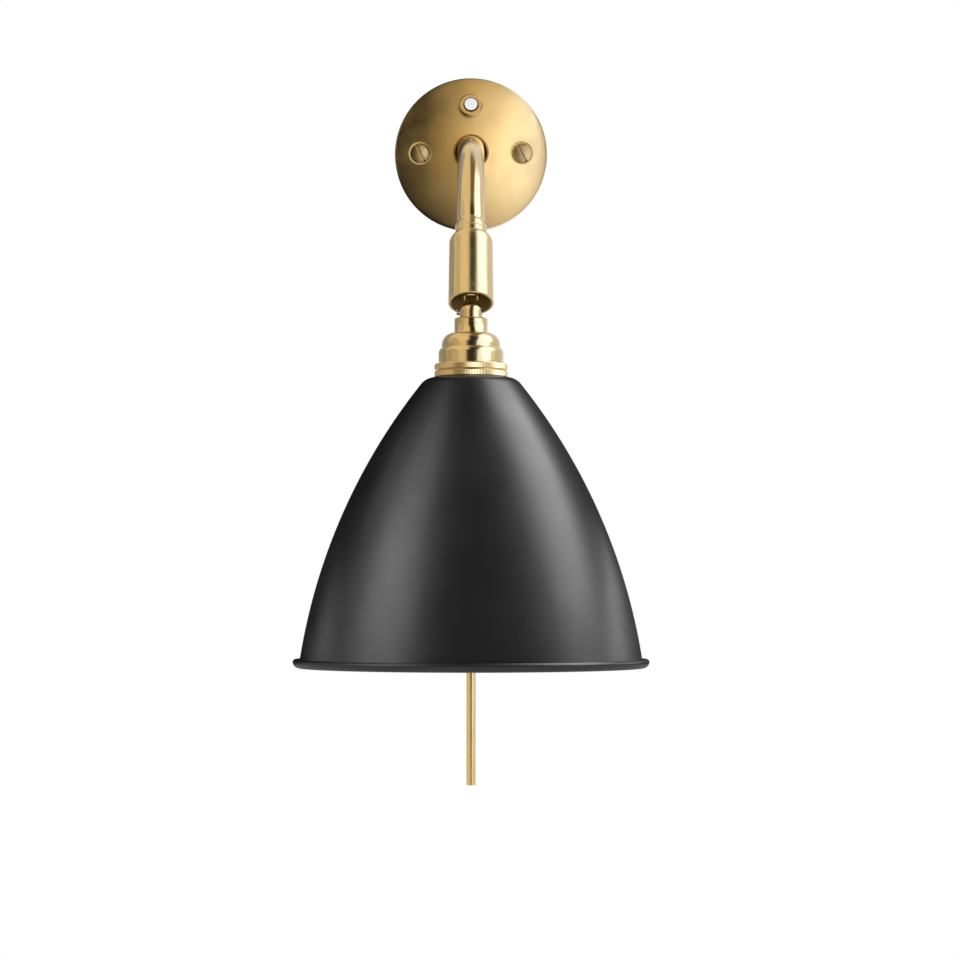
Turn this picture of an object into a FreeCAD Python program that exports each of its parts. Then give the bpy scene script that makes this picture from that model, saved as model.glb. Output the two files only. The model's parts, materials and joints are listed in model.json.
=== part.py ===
"""Adjustable wall lamp: domed wall plate with a push switch, bent arm, cup with a knuckle joint,
lampholder with two shade rings, and a spun bell shade. Millimetres and degrees.

Frame: origin on the wall at the centre of the wall plate, +Z up, +Y into the wall, so the lamp
reaches towards -Y. It rests with the shade hanging straight down.
"""
import FreeCAD, Part
import math
import os
import re

import Sketcher
from FreeCAD import Placement, Rotation, Vector

# ---------------------------------------------------------------- driving dimensions

SIZES = {
    # wall plate: a shallow dome with a short skirt
    "plate_radius": 38.1,
    "plate_skirt": 4.05,
    "plate_edge_radius": 1.21,
    "plate_edge_width": 0.8,
    "plate_dome_radius": 110.0,
    "plate_rise": 11.7,
    "plate_wall": 1.5,
    "arm_hole_radius": 8.0,
    "arm_hole_bevel": 0.9,
    # its two screws, at the centres of a standard round wall box
    "screw_spacing": 50.8,
    "screw_floor": 6.9,
    "screw_head_radius": 4.8,
    "screw_head_crown": 0.8,
    "screw_radius": 2.0,
    "screw_reach": 15.0,
    "screw_slot_width": 1.3,
    "screw_slot_depth": 1.6,
    "screw_slot_angle": -60.0,
    "screw_recess_gap": 1.0,
    "boss_wall": 1.7,
    # steel backing plate
    "backing_thickness": 2.0,
    "backing_gap": 1.2,
    # arm
    "arm_radius": 6.4,
    "arm_wall": 1.2,
    "arm_first_run": 14.3,
    "arm_bend_radius": 78.5,
    "arm_bend_angle": 64.0,
    "stem_radius": 4.9,
    "stem_reach": 9.0,
    "wire_bore": 3.2,
    "plug_length": 8.0,
    "lock_nut_flats": 15.0,
    "lock_nut_height": 5.0,
    "lock_washer_height": 1.0,
    "lock_washer_radius": 8.6,
    # ferrule and cup, along the axis of the arm's end
    "ferrule_flare": 3.0,
    "ferrule_flare_radius": 5.0,
    "ferrule_collar": 2.9,
    "ferrule_radius": 7.4,
    "ferrule_spigot": 3.0,
    "cup_neck": 2.4,
    "cup_shoulder": 5.4,
    "cup_shoulder_radius": 5.4,
    "cup_top_radius": 10.25,
    "cup_mouth_radius": 10.55,
    "cup_length": 31.8,
    "cup_wall": 1.1,
    "cup_roof": 1.2,
    "cup_mouth_height": 4.6,
    # swivel inside the cup
    "housing_radius": 8.0,
    "housing_length": 12.0,
    "housing_wall": 1.1,
    "housing_roof": 3.0,
    "housing_nipple": 12.3,
    "swivel_washer_height": 0.7,
    "swivel_flange_radius": 6.3,
    "swivel_flange_height": 1.9,
    "retainer_height": 4.5,
    "swivel_stem_radius": 3.6,
    "swivel_bore": 1.6,
    # knuckle
    "tongue_start": 7.2,
    "tongue_width": 6.0,
    "tongue_thickness": 5.4,
    "knuckle_radius": 5.3,
    "knuckle_drop": 2.9,
    "knuckle_thread": 8.1,
    "fold_angle": 32.0,
    "hinge_radius": 1.5,
    "hinge_tip": 1.6,
    "hinge_head_radius": 2.6,
    "hinge_head_height": 1.0,
    "hinge_washer_height": 0.3,
    "hinge_cheek": 0.9,
    # lampholder
    "neck_radius": 7.7,
    "neck_height": 6.0,
    "dome_step": 0.4,
    "dome_round": 6.1,
    "cap_radius": 13.6,
    "cap_height": 13.7,
    "cap_wall": 1.1,
    "skirt_radius": 15.05,
    "skirt_height": 6.8,
    "skirt_round": 3.0,
    "barrel_spigot": 3.0,
    "thread_radius": 14.0,
    "thread_length": 25.6,
    "barrel_wall": 1.4,
    "shelf_depth": 14.4,
    "shelf_height": 1.5,
    "insert_top_depth": 0.8,
    "insert_floor": 3.0,
    "insert_clear": 0.15,
    "shell_radius": 7.8,
    "shell_wall": 0.65,
    "shell_length": 24.0,
    "sleeve_wall": 1.4,
    "terminal_radius": 2.0,
    "terminal_height": 3.6,
    "terminal_offset": 7.2,
    # shade rings
    "ring_radius": 16.9,
    "ring_height": 3.25,
    "ring_gap": 0.7,
    "ring_edge": 0.45,
    "inner_ring_radius": 17.0,
    "inner_ring_height": 3.5,
    # shade
    "shade_hole_gap": 0.3,
    "shade_flat_radius": 17.2,
    "shade_shoulder_radius": 7.7,
    "shade_top_angle": 51.5,
    "shade_curve_radius": 272.0,
    "shade_end_angle": 81.0,
    "shade_wall": 0.9,
    "rim_overhang": 3.6,
    "rim_height": 4.2,
    "rim_round": 3.1,
    # bulb, small screw cap
    "bulb_cap_radius": 6.9,
    "bulb_cap_length": 20.0,
    "bulb_contact_radius": 2.3,
    "bulb_contact_height": 1.0,
    "bulb_neck_radius": 8.6,
    "bulb_neck_length": 15.0,
    "bulb_ball_radius": 22.5,
    "bulb_length": 78.0,
    "bulb_glass_wall": 0.8,
    # push switch, square to the dome above the arm
    "switch_offset": 23.2,
    "bush_radius": 5.8,
    "bush_height": 2.2,
    "bush_bevel": 0.5,
    "bush_barrel_radius": 4.4,
    "bush_barrel_length": 8.0,
    "button_radius": 3.15,
    "button_gap": 0.3,
    "button_proud": 0.7,
    "button_crown": 0.4,
    "button_travel": 2.0,
    "button_flange_radius": 4.9,
    "button_flange_height": 1.0,
    "plunger_radius": 2.0,
    "plunger_length": 4.8,
    "switch_nut_flats": 12.0,
    "switch_nut_height": 2.5,
    "switch_nut_seat": 0.35,
    "switch_body_radius": 7.0,
    "switch_body_length": 15.4,
    "switch_body_wall": 1.6,
    "switch_body_floor": 2.5,
    "switch_tag_length": 5.0,
    "switch_tag_width": 3.0,
    "switch_tag_thickness": 0.8,
    "switch_tag_offset": 3.0,
    # cable tube on the wall
    "tube_radius": 2.4,
    "tube_wall": 0.55,
    "tube_standoff": 0.1,
    "tube_top": 14.0,
    "tube_end": 316.0,
    "saddle_height": 25.0,
    "saddle_length": 6.0,
    "saddle_thickness": 1.1,
    "saddle_reach": 9.0,
    "saddle_screw_offset": 6.2,
    "small_screw_radius": 1.2,
    "small_head_radius": 2.1,
    "small_head_height": 1.4,
    # terminal block behind the backing plate
    "block_length": 16.0,
    "block_width": 10.0,
    "block_height": 9.0,
    "block_out": 16.0,
    "block_down": 18.0,
    "block_screw_spacing": 9.0,
    "earth_out": -17.0,
    "earth_down": 17.0,
    # clearances
    "thread_gap": 0.05,
    "running_gap": 0.08,
    "hole_gap": 0.2,
    "slide_gap": 0.15,
    "end_gap": 0.2,
}

doc = FreeCAD.newDocument("wall_lamp")


def make_sheet():
    """The driving dimensions, one aliased cell each."""
    sheet = doc.addObject("Spreadsheet::Sheet", "Size")
    for row, (name, size) in enumerate(SIZES.items(), start=1):
        sheet.set(f"A{row}", name)
        sheet.set(f"B{row}", str(size))
        sheet.setAlias(f"B{row}", name)
    doc.recompute()
    return sheet


sheet = make_sheet()


def bound(text):
    """The expression with every size's name pointed at the sheet."""
    return re.sub(r"[a-z]+(?:_[a-z]+)+", lambda found: f"Size.{found.group()}", text)


def worth(text):
    """The present value of an expression, in mm or degrees."""
    return float(sheet.evalExpression(bound(text)))


# ---------------------------------------------------------------- sketch and feature helpers

def new_body(label):
    body = doc.addObject("PartDesign::Body", label)
    body.Label = label
    return body


def sketch_on(body, role, level="0"):
    """A sketch on one of the body's own planes, raised along the plane's normal."""
    sketch = body.newObject("Sketcher::SketchObject", f"{body.Name}_sketch")
    plane = [item for item in body.Origin.OriginFeatures if item.Role == role][0]
    sketch.AttachmentSupport = [(plane, "")]
    sketch.MapMode = "FlatFace"
    sketch.setExpression("AttachmentOffset.Base.z", bound(level))
    return sketch


def pin_point(sketch, geometry, point, across, up):
    """Hold one end of an edge at two expressions."""
    for kind, text, axis in (("DistanceX", across, -2), ("DistanceY", up, -1)):
        if text == "0":
            sketch.addConstraint(Sketcher.Constraint("PointOnObject", geometry, point, axis))
            continue
        constraint = Sketcher.Constraint(kind, -1, 1, geometry, point, worth(text))
        index = sketch.addConstraint(constraint)
        sketch.setExpression(f"Constraints[{index}]", bound(text))


def arc_between(start, end, radius, side):
    """The shorter arc from start to end; side +1 bulges to the left of the way, -1 to the right."""
    chord = end - start
    half = chord.Length / 2
    rise = radius - math.sqrt(max(radius * radius - half * half, 0.0))
    left = Vector(-chord.y, chord.x, 0).normalize()
    middle = start + chord * 0.5 + left * (side * rise)
    return Part.Arc(start, middle, end)


def draw_outline(sketch, corners):
    """A closed outline. A corner is (across, up), or (across, up, radius, side) where an arc
    leads on to the next corner."""
    places = [Vector(worth(corner[0]), worth(corner[1]), 0) for corner in corners]
    edges = []
    for number, corner in enumerate(corners):
        start, end = places[number], places[(number + 1) % len(places)]
        if len(corner) == 4:
            edges.append(sketch.addGeometry(arc_between(start, end, worth(corner[2]), corner[3])))
        else:
            edges.append(sketch.addGeometry(Part.LineSegment(start, end)))
    ends = [edge_ends(sketch, edge, places[number]) for number, edge in enumerate(edges)]
    for number, corner in enumerate(corners):
        following = (number + 1) % len(corners)
        sketch.addConstraint(Sketcher.Constraint("Coincident", edges[number], ends[number][1],
                                                 edges[following], ends[following][0]))
        pin_point(sketch, edges[number], ends[number][0], corner[0], corner[1])
        if len(corner) == 4:
            index = sketch.addConstraint(
                Sketcher.Constraint("Radius", edges[number], worth(corner[2])))
            sketch.setExpression(f"Constraints[{index}]", bound(corner[2]))


def edge_ends(sketch, edge, start):
    """Which end of a sketch edge lies at the start of its stretch: arcs may be stored reversed."""
    first = sketch.getPoint(edge, 1)
    if first.distanceToPoint(start) < 1e-6:
        return 1, 2
    return 2, 1


def draw_circle(sketch, across, up, radius):
    circle = Part.Circle(Vector(worth(across), worth(up), 0), Vector(0, 0, 1), worth(radius))
    geometry = sketch.addGeometry(circle)
    pin_point(sketch, geometry, 3, across, up)
    index = sketch.addConstraint(Sketcher.Constraint("Radius", geometry, worth(radius)))
    sketch.setExpression(f"Constraints[{index}]", bound(radius))


def draw_box(sketch, left, right, low, high):
    draw_outline(sketch, [(left, low), (right, low), (right, high), (left, high)])


def draw_hexagon(sketch, flats):
    """A hexagon about the origin, flat to flat as given."""
    corner = f"({flats}) / sqrt(3)"
    draw_outline(sketch, [(f"{corner} * cos({60 * number + 30})",
                           f"{corner} * sin({60 * number + 30})") for number in range(6)])


def turn(body, corners):
    """Revolve an outline of (radius, height) corners about the body's Z axis."""
    sketch = sketch_on(body, "XZ_Plane")
    draw_outline(sketch, corners)
    feature = body.newObject("PartDesign::Revolution", f"{body.Name}_turned")
    feature.Profile = sketch
    feature.ReferenceAxis = (sketch, ["V_Axis"])
    feature.Angle = 360
    body.Tip = feature
    return feature


def turned(label, corners):
    body = new_body(label)
    turn(body, corners)
    return body


def pad(body, sketch, length, both_ways=False):
    feature = body.newObject("PartDesign::Pad", f"{body.Name}_pad")
    feature.Profile = sketch
    feature.setExpression("Length", bound(length))
    feature.Midplane = both_ways
    body.Tip = feature
    return feature


def cut(body, sketch, length, reverse=False):
    """Pocket to a depth against the sketch's normal, or along it when reversed."""
    feature = body.newObject("PartDesign::Pocket", f"{body.Name}_cut")
    feature.Profile = sketch
    feature.setExpression("Length", bound(length))
    feature.Reversed = reverse
    return finish_cut(body, feature)


def cut_through(body, sketch):
    feature = body.newObject("PartDesign::Pocket", f"{body.Name}_cut")
    feature.Profile = sketch
    feature.Type = 1
    feature.Midplane = True
    return finish_cut(body, feature)


def turn_away(body, sketch, axis):
    feature = body.newObject("PartDesign::Groove", f"{body.Name}_groove")
    feature.Profile = sketch
    feature.ReferenceAxis = (sketch, [axis])
    feature.Angle = 360
    return finish_cut(body, feature)


def finish_cut(body, feature):
    """A cut that misses the solid shows no error, so the volumes are compared."""
    before = feature.BaseFeature
    body.Tip = feature
    doc.recompute()
    if feature.Shape.Volume >= before.Shape.Volume - 1e-6:
        raise RuntimeError(f"{feature.Name} cuts nothing")
    return feature


def group(label, members):
    """One node of several equal solids."""
    compound = doc.addObject("Part::Compound", label)
    compound.Label = label
    compound.Links = members
    return compound


NODES = []


def node(part, placement=None):
    """Place a finished sub-part and list it for export."""
    if placement is not None:
        part.Placement = placement
    NODES.append(part)
    return part


# ---------------------------------------------------------------- where the groups of pieces lie

def wall_frame():
    """Local Z leads out from the wall, local Y up."""
    return Placement(Vector(0, 0, 0), Rotation(Vector(1, 0, 0), 90))


def switch_frame():
    """On the dome's outer face, square to it, above the arm."""
    lean = math.degrees(math.asin(worth("switch_offset / plate_dome_radius")))
    seat = Vector(0, worth("switch_offset"), worth(DOME_AT.format("switch_offset")))
    return wall_frame() * Placement(seat, Rotation(Vector(1, 0, 0), -lean))


def joint_lean():
    """How far the axis of the arm's end leans from upright."""
    return 90 - worth("arm_bend_angle")


def hinge_point():
    """The pivot of the knuckle, past the end of the bent tube along its last direction."""
    radius, angle = worth("arm_bend_radius"), math.radians(worth("arm_bend_angle"))
    reach = worth(FERRULE_TOP)
    out = worth("arm_first_run") + radius * math.sin(angle) + reach * math.cos(angle)
    drop = radius * (1 - math.cos(angle)) + reach * math.sin(angle)
    return Vector(0, -out, -drop)


def joint_frame():
    """At the pivot, local Z up the axis of the cup."""
    return Placement(hinge_point(), Rotation(Vector(1, 0, 0), -joint_lean()))


def lamp_frame():
    """At the pivot, local Z straight up."""
    return Placement(hinge_point(), Rotation())


def pin_frame():
    """At the pivot, local Z along the hinge screw, from its head to its tip."""
    return Placement(hinge_point(), Rotation(Vector(0, 1, 0), -90))


# height of the dome's outer face over the wall, at a distance from the centre
DOME_AT = "plate_rise - plate_dome_radius + sqrt(plate_dome_radius ^ 2 - ({0}) ^ 2)"
DOME_INSIDE_AT = ("plate_rise - plate_dome_radius"
                  " + sqrt((plate_dome_radius - plate_wall) ^ 2 - ({0}) ^ 2)")
SHOULDER = "plate_radius - plate_edge_width"

# heights above the pivot, up the axis of the cup
CUP_SHOULDER = "cup_mouth_height + cup_length"
CUP_NECK = f"{CUP_SHOULDER} + cup_shoulder"
CUP_TOP = f"{CUP_NECK} + cup_neck"
FERRULE_SHOULDER = f"{CUP_TOP} + ferrule_collar"
FERRULE_TOP = f"{FERRULE_SHOULDER} + ferrule_flare"
CUP_CEILING = f"{CUP_SHOULDER} - cup_roof + 1"
HOUSING_FOOT = f"{CUP_CEILING} - housing_length"
HOUSING_CEILING = f"{CUP_CEILING} - housing_roof"
FLANGE_TOP = f"{HOUSING_CEILING} - swivel_washer_height - end_gap"
FLANGE_FOOT = f"{FLANGE_TOP} - swivel_flange_height"
RETAINER_TOP = f"{FLANGE_FOOT} - end_gap"

# depths below the pivot, down the axis of the lamp
NECK_FOOT = "knuckle_drop + neck_height"
CAP_FOOT = "knuckle_drop + cap_height"
SKIRT_FOOT = f"{CAP_FOOT} + skirt_height"
RINGS_TOP = f"{SKIRT_FOOT} + ring_gap"
SHADE_TOP = f"{RINGS_TOP} + 2 * ring_height"
SHADE_UNDER = f"{SHADE_TOP} + shade_wall"
INSERT_TOP = f"{CAP_FOOT} + insert_top_depth"
INSERT_UNDER = f"{INSERT_TOP} + insert_floor"
SHELF = f"{CAP_FOOT} + shelf_depth"
SHELL_FOOT = f"{INSERT_UNDER} + shell_length"
CONTACT_FOOT = f"{INSERT_UNDER} + 2.8"
BULB_TOP = f"{CONTACT_FOOT} + 0.1"
BULB_CAP_TOP = f"{BULB_TOP} + bulb_contact_height"
BULB_CAP_FOOT = f"{BULB_CAP_TOP} + bulb_cap_length"

TUBE_CENTRE = "tube_standoff + tube_radius"


def down(depth):
    return f"-({depth})"


# ---------------------------------------------------------------- wall plate and its fixing

def wall_plate():
    """Spun dome on a short skirt, with a bevelled hole for the arm and two screw bosses."""
    body = new_body("wall_plate")
    hole_top = f"arm_hole_radius + arm_hole_bevel"
    inner_edge = "plate_radius - plate_wall"
    turn(body, [
        ("plate_radius", "0"),
        ("plate_radius", "plate_skirt", "plate_edge_radius", -1),
        (SHOULDER, DOME_AT.format(SHOULDER), "plate_dome_radius", -1),
        (hole_top, DOME_AT.format(hole_top)),
        ("arm_hole_radius", f"{DOME_AT.format(hole_top)} - arm_hole_bevel"),
        ("arm_hole_radius", DOME_INSIDE_AT.format("arm_hole_radius"),
         "plate_dome_radius - plate_wall", 1),
        (f"{SHOULDER} - plate_wall / 2", DOME_INSIDE_AT.format(f"{SHOULDER} - plate_wall / 2"),
         "plate_edge_radius", 1),
        (inner_edge, "plate_skirt - plate_wall / 2"),
        (inner_edge, "0"),
    ])
    bosses = sketch_on(body, "XY_Plane", "backing_thickness")
    for side in ("", "-"):
        draw_circle(bosses, f"{side}screw_spacing / 2", "0",
                    "screw_head_radius + screw_recess_gap + boss_wall")
    pad(body, bosses, "plate_rise")
    trim_to_dome(body)
    for side in (1, -1):
        sink_screw(body, side)
    notch_for_tube(body)
    hole_for_switch(body)
    return node(body, wall_frame())


def trim_to_dome(body):
    """Cut the bosses flush with the outer face of the dome."""
    sketch = sketch_on(body, "XZ_Plane")
    above = "backing_thickness + plate_rise + 1"
    draw_outline(sketch, [
        ("plate_radius", above),
        ("arm_hole_radius + arm_hole_bevel", above),
        ("arm_hole_radius + arm_hole_bevel", DOME_AT.format("arm_hole_radius + arm_hole_bevel"),
         "plate_dome_radius", 1),
        (SHOULDER, DOME_AT.format(SHOULDER)),
        ("plate_radius", DOME_AT.format(SHOULDER)),
    ])
    turn_away(body, sketch, "V_Axis")


def sink_screw(body, side):
    """A round recess down to the screw's seat, its countersink, and the hole below."""
    sketch = sketch_on(body, "XZ_Plane")
    centre = f"{side} * screw_spacing / 2"

    def beside(radius):
        return f"{centre} + {side} * ({radius})"

    cone_foot = "screw_floor - (screw_head_radius - screw_radius)"
    draw_outline(sketch, [
        (centre, "plate_rise + 1"),
        (beside("screw_head_radius + screw_recess_gap"), "plate_rise + 1"),
        (beside("screw_head_radius + screw_recess_gap"), "screw_floor"),
        (beside("screw_head_radius + hole_gap"), "screw_floor"),
        (beside("screw_radius + hole_gap"), cone_foot),
        (beside("screw_radius + hole_gap"), "-1"),
        (centre, "-1"),
    ])
    axis = sketch.addGeometry(Part.LineSegment(Vector(worth(centre), -1, 0),
                                               Vector(worth(centre), worth("plate_rise"), 0)),
                              True)
    pin_point(sketch, axis, 1, centre, "-1")
    pin_point(sketch, axis, 2, centre, "plate_rise")
    turn_away(body, sketch, "Axis0")


def notch_for_tube(body):
    """The cable tube leaves the plate through a round-topped notch at the foot of the skirt."""
    half = "tube_radius + hole_gap"
    sketch = sketch_on(body, "XZ_Plane")
    draw_outline(sketch, [
        (f"-({half})", "-1"),
        (half, "-1"),
        (half, TUBE_CENTRE, half, -1),
        ("0", f"{TUBE_CENTRE} + {half}", half, -1),
        (f"-({half})", TUBE_CENTRE),
    ])
    cut(body, sketch, "plate_radius + 1", reverse=True)


def hole_for_switch(body):
    """A round hole square to the dome."""
    sketch = sketch_on(body, "XY_Plane", DOME_AT.format("switch_offset"))
    sketch.setExpression("AttachmentOffset.Base.y", bound("switch_offset"))
    lean = math.degrees(math.asin(worth("switch_offset / plate_dome_radius")))
    sketch.AttachmentOffset = Placement(sketch.AttachmentOffset.Base,
                                        Rotation(Vector(1, 0, 0), -lean))
    draw_circle(sketch, "0", "0", "bush_barrel_radius + hole_gap")
    cut_through(body, sketch)


def plate_screw(side):
    """Slotted raised countersunk machine screw: a relieved neck through the plates, and a
    threaded shank that reaches into the wall box."""
    body = new_body(f"plate_screw_{'right' if side > 0 else 'left'}")
    neck = "(screw_radius - slide_gap)"
    turn(body, [
        ("0", "-screw_reach"),
        ("screw_radius - 0.4", "-screw_reach"),
        ("screw_radius", "0.4 - screw_reach"),
        ("screw_radius", "-end_gap"),
        (neck, "-end_gap"),
        (neck, f"screw_floor - (screw_head_radius - {neck})"),
        ("screw_head_radius", "screw_floor",
         "(screw_head_radius ^ 2 + screw_head_crown ^ 2) / (2 * screw_head_crown)", -1),
        ("0", "screw_floor + screw_head_crown"),
    ])
    slot = sketch_on(body, "XY_Plane", "screw_floor + screw_head_crown")
    slot.setExpression("AttachmentOffset.Rotation.Angle", bound("screw_slot_angle"))
    draw_box(slot, "-(screw_head_radius + 1)", "screw_head_radius + 1",
             "-screw_slot_width / 2", "screw_slot_width / 2")
    cut(body, slot, "screw_slot_depth")
    offset = Placement(Vector(side * worth("screw_spacing") / 2, 0, 0), Rotation())
    body.Placement = wall_frame() * offset
    return body


def backing_plate():
    """Flat steel disc on the wall: it carries the arm and everything behind the dome."""
    body = new_body("backing_plate")
    disc = sketch_on(body, "XY_Plane")
    radius = "plate_radius - plate_wall - backing_gap"
    draw_circle(disc, "0", "0", radius)
    pad(body, disc, "backing_thickness")
    doc.recompute()
    holes = sketch_on(body, "XY_Plane")
    draw_circle(holes, "0", "0", "stem_radius + hole_gap / 2")
    draw_circle(holes, "0", "switch_offset - 1.2", "switch_body_radius + 1.4")
    for side in ("", "-"):
        draw_circle(holes, f"{side}screw_spacing / 2", "0", "screw_radius + hole_gap")
        draw_circle(holes, f"{side}saddle_screw_offset", "-saddle_height",
                    "small_screw_radius + thread_gap")
    draw_circle(holes, "block_out", "-block_down", "small_screw_radius + thread_gap")
    draw_circle(holes, "earth_out", "-earth_down", "screw_radius + thread_gap")
    cut_through(body, holes)
    slot = sketch_on(body, "XY_Plane")
    half = "tube_radius + hole_gap"
    draw_outline(slot, [
        (f"-({half})", "-plate_radius"),
        (half, "-plate_radius"),
        (half, "1 - tube_top", half, -1),
        ("0", f"1 - tube_top + {half}", half, -1),
        (f"-({half})", "1 - tube_top"),
    ])
    cut_through(body, slot)
    return node(body, wall_frame())


# ---------------------------------------------------------------- arm

def arm_tube():
    """Tube that leaves the wall level and bends down in one arc."""
    body = new_body("arm_tube")
    ring = sketch_on(body, "XZ_Plane", "backing_thickness")
    draw_circle(ring, "0", "0", "arm_radius")
    draw_circle(ring, "0", "0", "arm_radius - arm_wall")
    path = sketch_on(body, "YZ_Plane")
    radius, angle = worth("arm_bend_radius"), worth("arm_bend_angle")
    start = Vector(-worth("backing_thickness"), 0, 0)
    bend = Vector(-worth("arm_first_run"), 0, 0)
    half = math.radians(angle / 2)
    middle = bend - Vector(radius * math.sin(half), radius * (1 - math.cos(half)), 0)
    end = bend - Vector(radius * math.sin(2 * half), radius * (1 - math.cos(2 * half)), 0)
    line = path.addGeometry(Part.LineSegment(start, bend))
    arc = path.addGeometry(Part.Arc(bend, middle, end))
    near, far = edge_ends(path, arc, bend)
    pin_point(path, line, 1, "-backing_thickness", "0")
    pin_point(path, line, 2, "-arm_first_run", "0")
    path.addConstraint(Sketcher.Constraint("Coincident", line, 2, arc, near))
    index = path.addConstraint(Sketcher.Constraint("Radius", arc, radius))
    path.setExpression(f"Constraints[{index}]", bound("arm_bend_radius"))
    pin_point(path, arc, far, "-(arm_first_run + arm_bend_radius * sin(arm_bend_angle))",
              "-arm_bend_radius * (1 - cos(arm_bend_angle))")
    doc.recompute()
    pipe = body.newObject("PartDesign::AdditivePipe", "arm_sweep")
    pipe.Profile = ring
    pipe.Spine = (path, ["Edge1", "Edge2"])
    body.Tip = pipe
    return node(body)


def arm_fixing():
    """Hollow threaded plug in the root of the tube, with its washer and nut behind the plate."""
    inside = "arm_radius - arm_wall - thread_gap"
    node(turned("arm_root_plug", [
        ("wire_bore", "-stem_reach"),
        ("stem_radius", "-stem_reach"),
        ("stem_radius", "backing_thickness"),
        (inside, "backing_thickness"),
        (inside, "backing_thickness + plug_length"),
        ("wire_bore", "backing_thickness + plug_length"),
    ]), wall_frame())
    node(ring_of("arm_lock_washer", "stem_radius + hole_gap / 2", "lock_washer_radius",
                 "-lock_washer_height", "0"), wall_frame())
    node(hexagon_nut("arm_lock_nut", "lock_nut_flats", "stem_radius + thread_gap",
                     "-lock_washer_height - lock_nut_height", "lock_nut_height"), wall_frame())


def ring_of(label, bore, radius, low, high):
    return turned(label, [(bore, low), (radius, low), (radius, high), (bore, high)])


def hexagon_nut(label, flats, bore, low, height):
    body = new_body(label)
    outline = sketch_on(body, "XY_Plane", low)
    draw_hexagon(outline, flats)
    draw_circle(outline, "0", "0", bore)
    pad(body, outline, height)
    return body


def arm_ferrule():
    """Turned neck with a spigot in the tube and a threaded mouth for the swivel."""
    return node(turned("arm_ferrule", [
        ("wire_bore", f"{FERRULE_TOP} + ferrule_spigot"),
        ("wire_bore", f"{FERRULE_SHOULDER} + 1.6"),
        ("stem_radius + thread_gap", f"{FERRULE_SHOULDER} + 1.6"),
        ("stem_radius + thread_gap", CUP_TOP),
        ("ferrule_radius - 0.3", CUP_TOP),
        ("ferrule_radius", f"{CUP_TOP} + 0.3"),
        ("ferrule_radius", FERRULE_SHOULDER, "ferrule_flare_radius", 1),
        ("arm_radius", FERRULE_TOP),
        ("arm_radius - arm_wall - slide_gap", FERRULE_TOP),
        ("arm_radius - arm_wall - slide_gap", f"{FERRULE_TOP} + ferrule_spigot"),
    ]), joint_frame())


# ---------------------------------------------------------------- cup and swivel

def joint_cup():
    """Slightly flared cup over the joint, with a rounded shoulder and a short neck."""
    return node(turned("joint_cup", [
        ("cup_mouth_radius - cup_wall", "cup_mouth_height"),
        ("cup_mouth_radius - 0.2", "cup_mouth_height"),
        ("cup_mouth_radius", "cup_mouth_height + 0.2"),
        ("cup_top_radius", CUP_SHOULDER, "cup_shoulder_radius", -1),
        ("ferrule_radius", CUP_NECK),
        ("ferrule_radius", f"{CUP_TOP} - 0.3"),
        ("ferrule_radius - 0.3", CUP_TOP),
        ("stem_radius + hole_gap / 2", CUP_TOP),
        ("stem_radius + hole_gap / 2", CUP_CEILING),
        ("cup_top_radius - cup_wall", CUP_CEILING),
    ]), joint_frame())


def swivel_parts():
    """Housing screwed into the ferrule, which clamps the cup and holds the turning stem."""
    node(turned("swivel_housing", [
        ("swivel_bore + 0.8", f"{CUP_CEILING} + housing_nipple"),
        ("swivel_bore + 0.8", HOUSING_CEILING),
        ("housing_radius - housing_wall", HOUSING_CEILING),
        ("housing_radius - housing_wall", HOUSING_FOOT),
        ("housing_radius", HOUSING_FOOT),
        ("housing_radius", CUP_CEILING),
        ("stem_radius", CUP_CEILING),
        ("stem_radius", f"{CUP_CEILING} + housing_nipple"),
    ]), joint_frame())
    node(ring_of("swivel_washer", "swivel_bore + 0.8", "swivel_flange_radius",
                 f"{HOUSING_CEILING} - swivel_washer_height", HOUSING_CEILING), joint_frame())
    node(ring_of("swivel_retainer", "swivel_stem_radius + running_gap",
                 "housing_radius - housing_wall - thread_gap",
                 f"{RETAINER_TOP} - retainer_height", RETAINER_TOP), joint_frame())


def upper_knuckle():
    """Turning stem with a flange at its head and a flat tongue at its foot."""
    body = new_body("upper_knuckle")
    turn(body, [
        ("swivel_bore", FLANGE_TOP),
        ("swivel_bore", "2 * tongue_start"),
        ("0", "2 * tongue_start"),
        ("0", "tongue_start"),
        ("swivel_stem_radius - 0.3", "tongue_start"),
        ("swivel_stem_radius", "tongue_start + 0.3"),
        ("swivel_stem_radius", FLANGE_FOOT),
        ("swivel_flange_radius", FLANGE_FOOT),
        ("swivel_flange_radius", FLANGE_TOP),
    ])
    tongue = sketch_on(body, "YZ_Plane")
    draw_outline(tongue, [
        ("-tongue_width / 2", "tongue_start + 0.1"),
        ("-tongue_width / 2", "0", "tongue_width / 2", -1),
        ("0", "-tongue_width / 2", "tongue_width / 2", -1),
        ("tongue_width / 2", "0"),
        ("tongue_width / 2", "tongue_start + 0.1"),
    ])
    pad(body, tongue, "tongue_thickness", both_ways=True)
    doc.recompute()
    eye = sketch_on(body, "YZ_Plane")
    draw_circle(eye, "0", "0", "hinge_radius + running_gap")
    cut_through(body, eye)
    port = sketch_on(body, "XZ_Plane")
    draw_circle(port, "0", "2 * tongue_start + 2", "swivel_bore - hole_gap")
    cut(body, port, "2 * swivel_stem_radius")
    return node(body, joint_frame())


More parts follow.
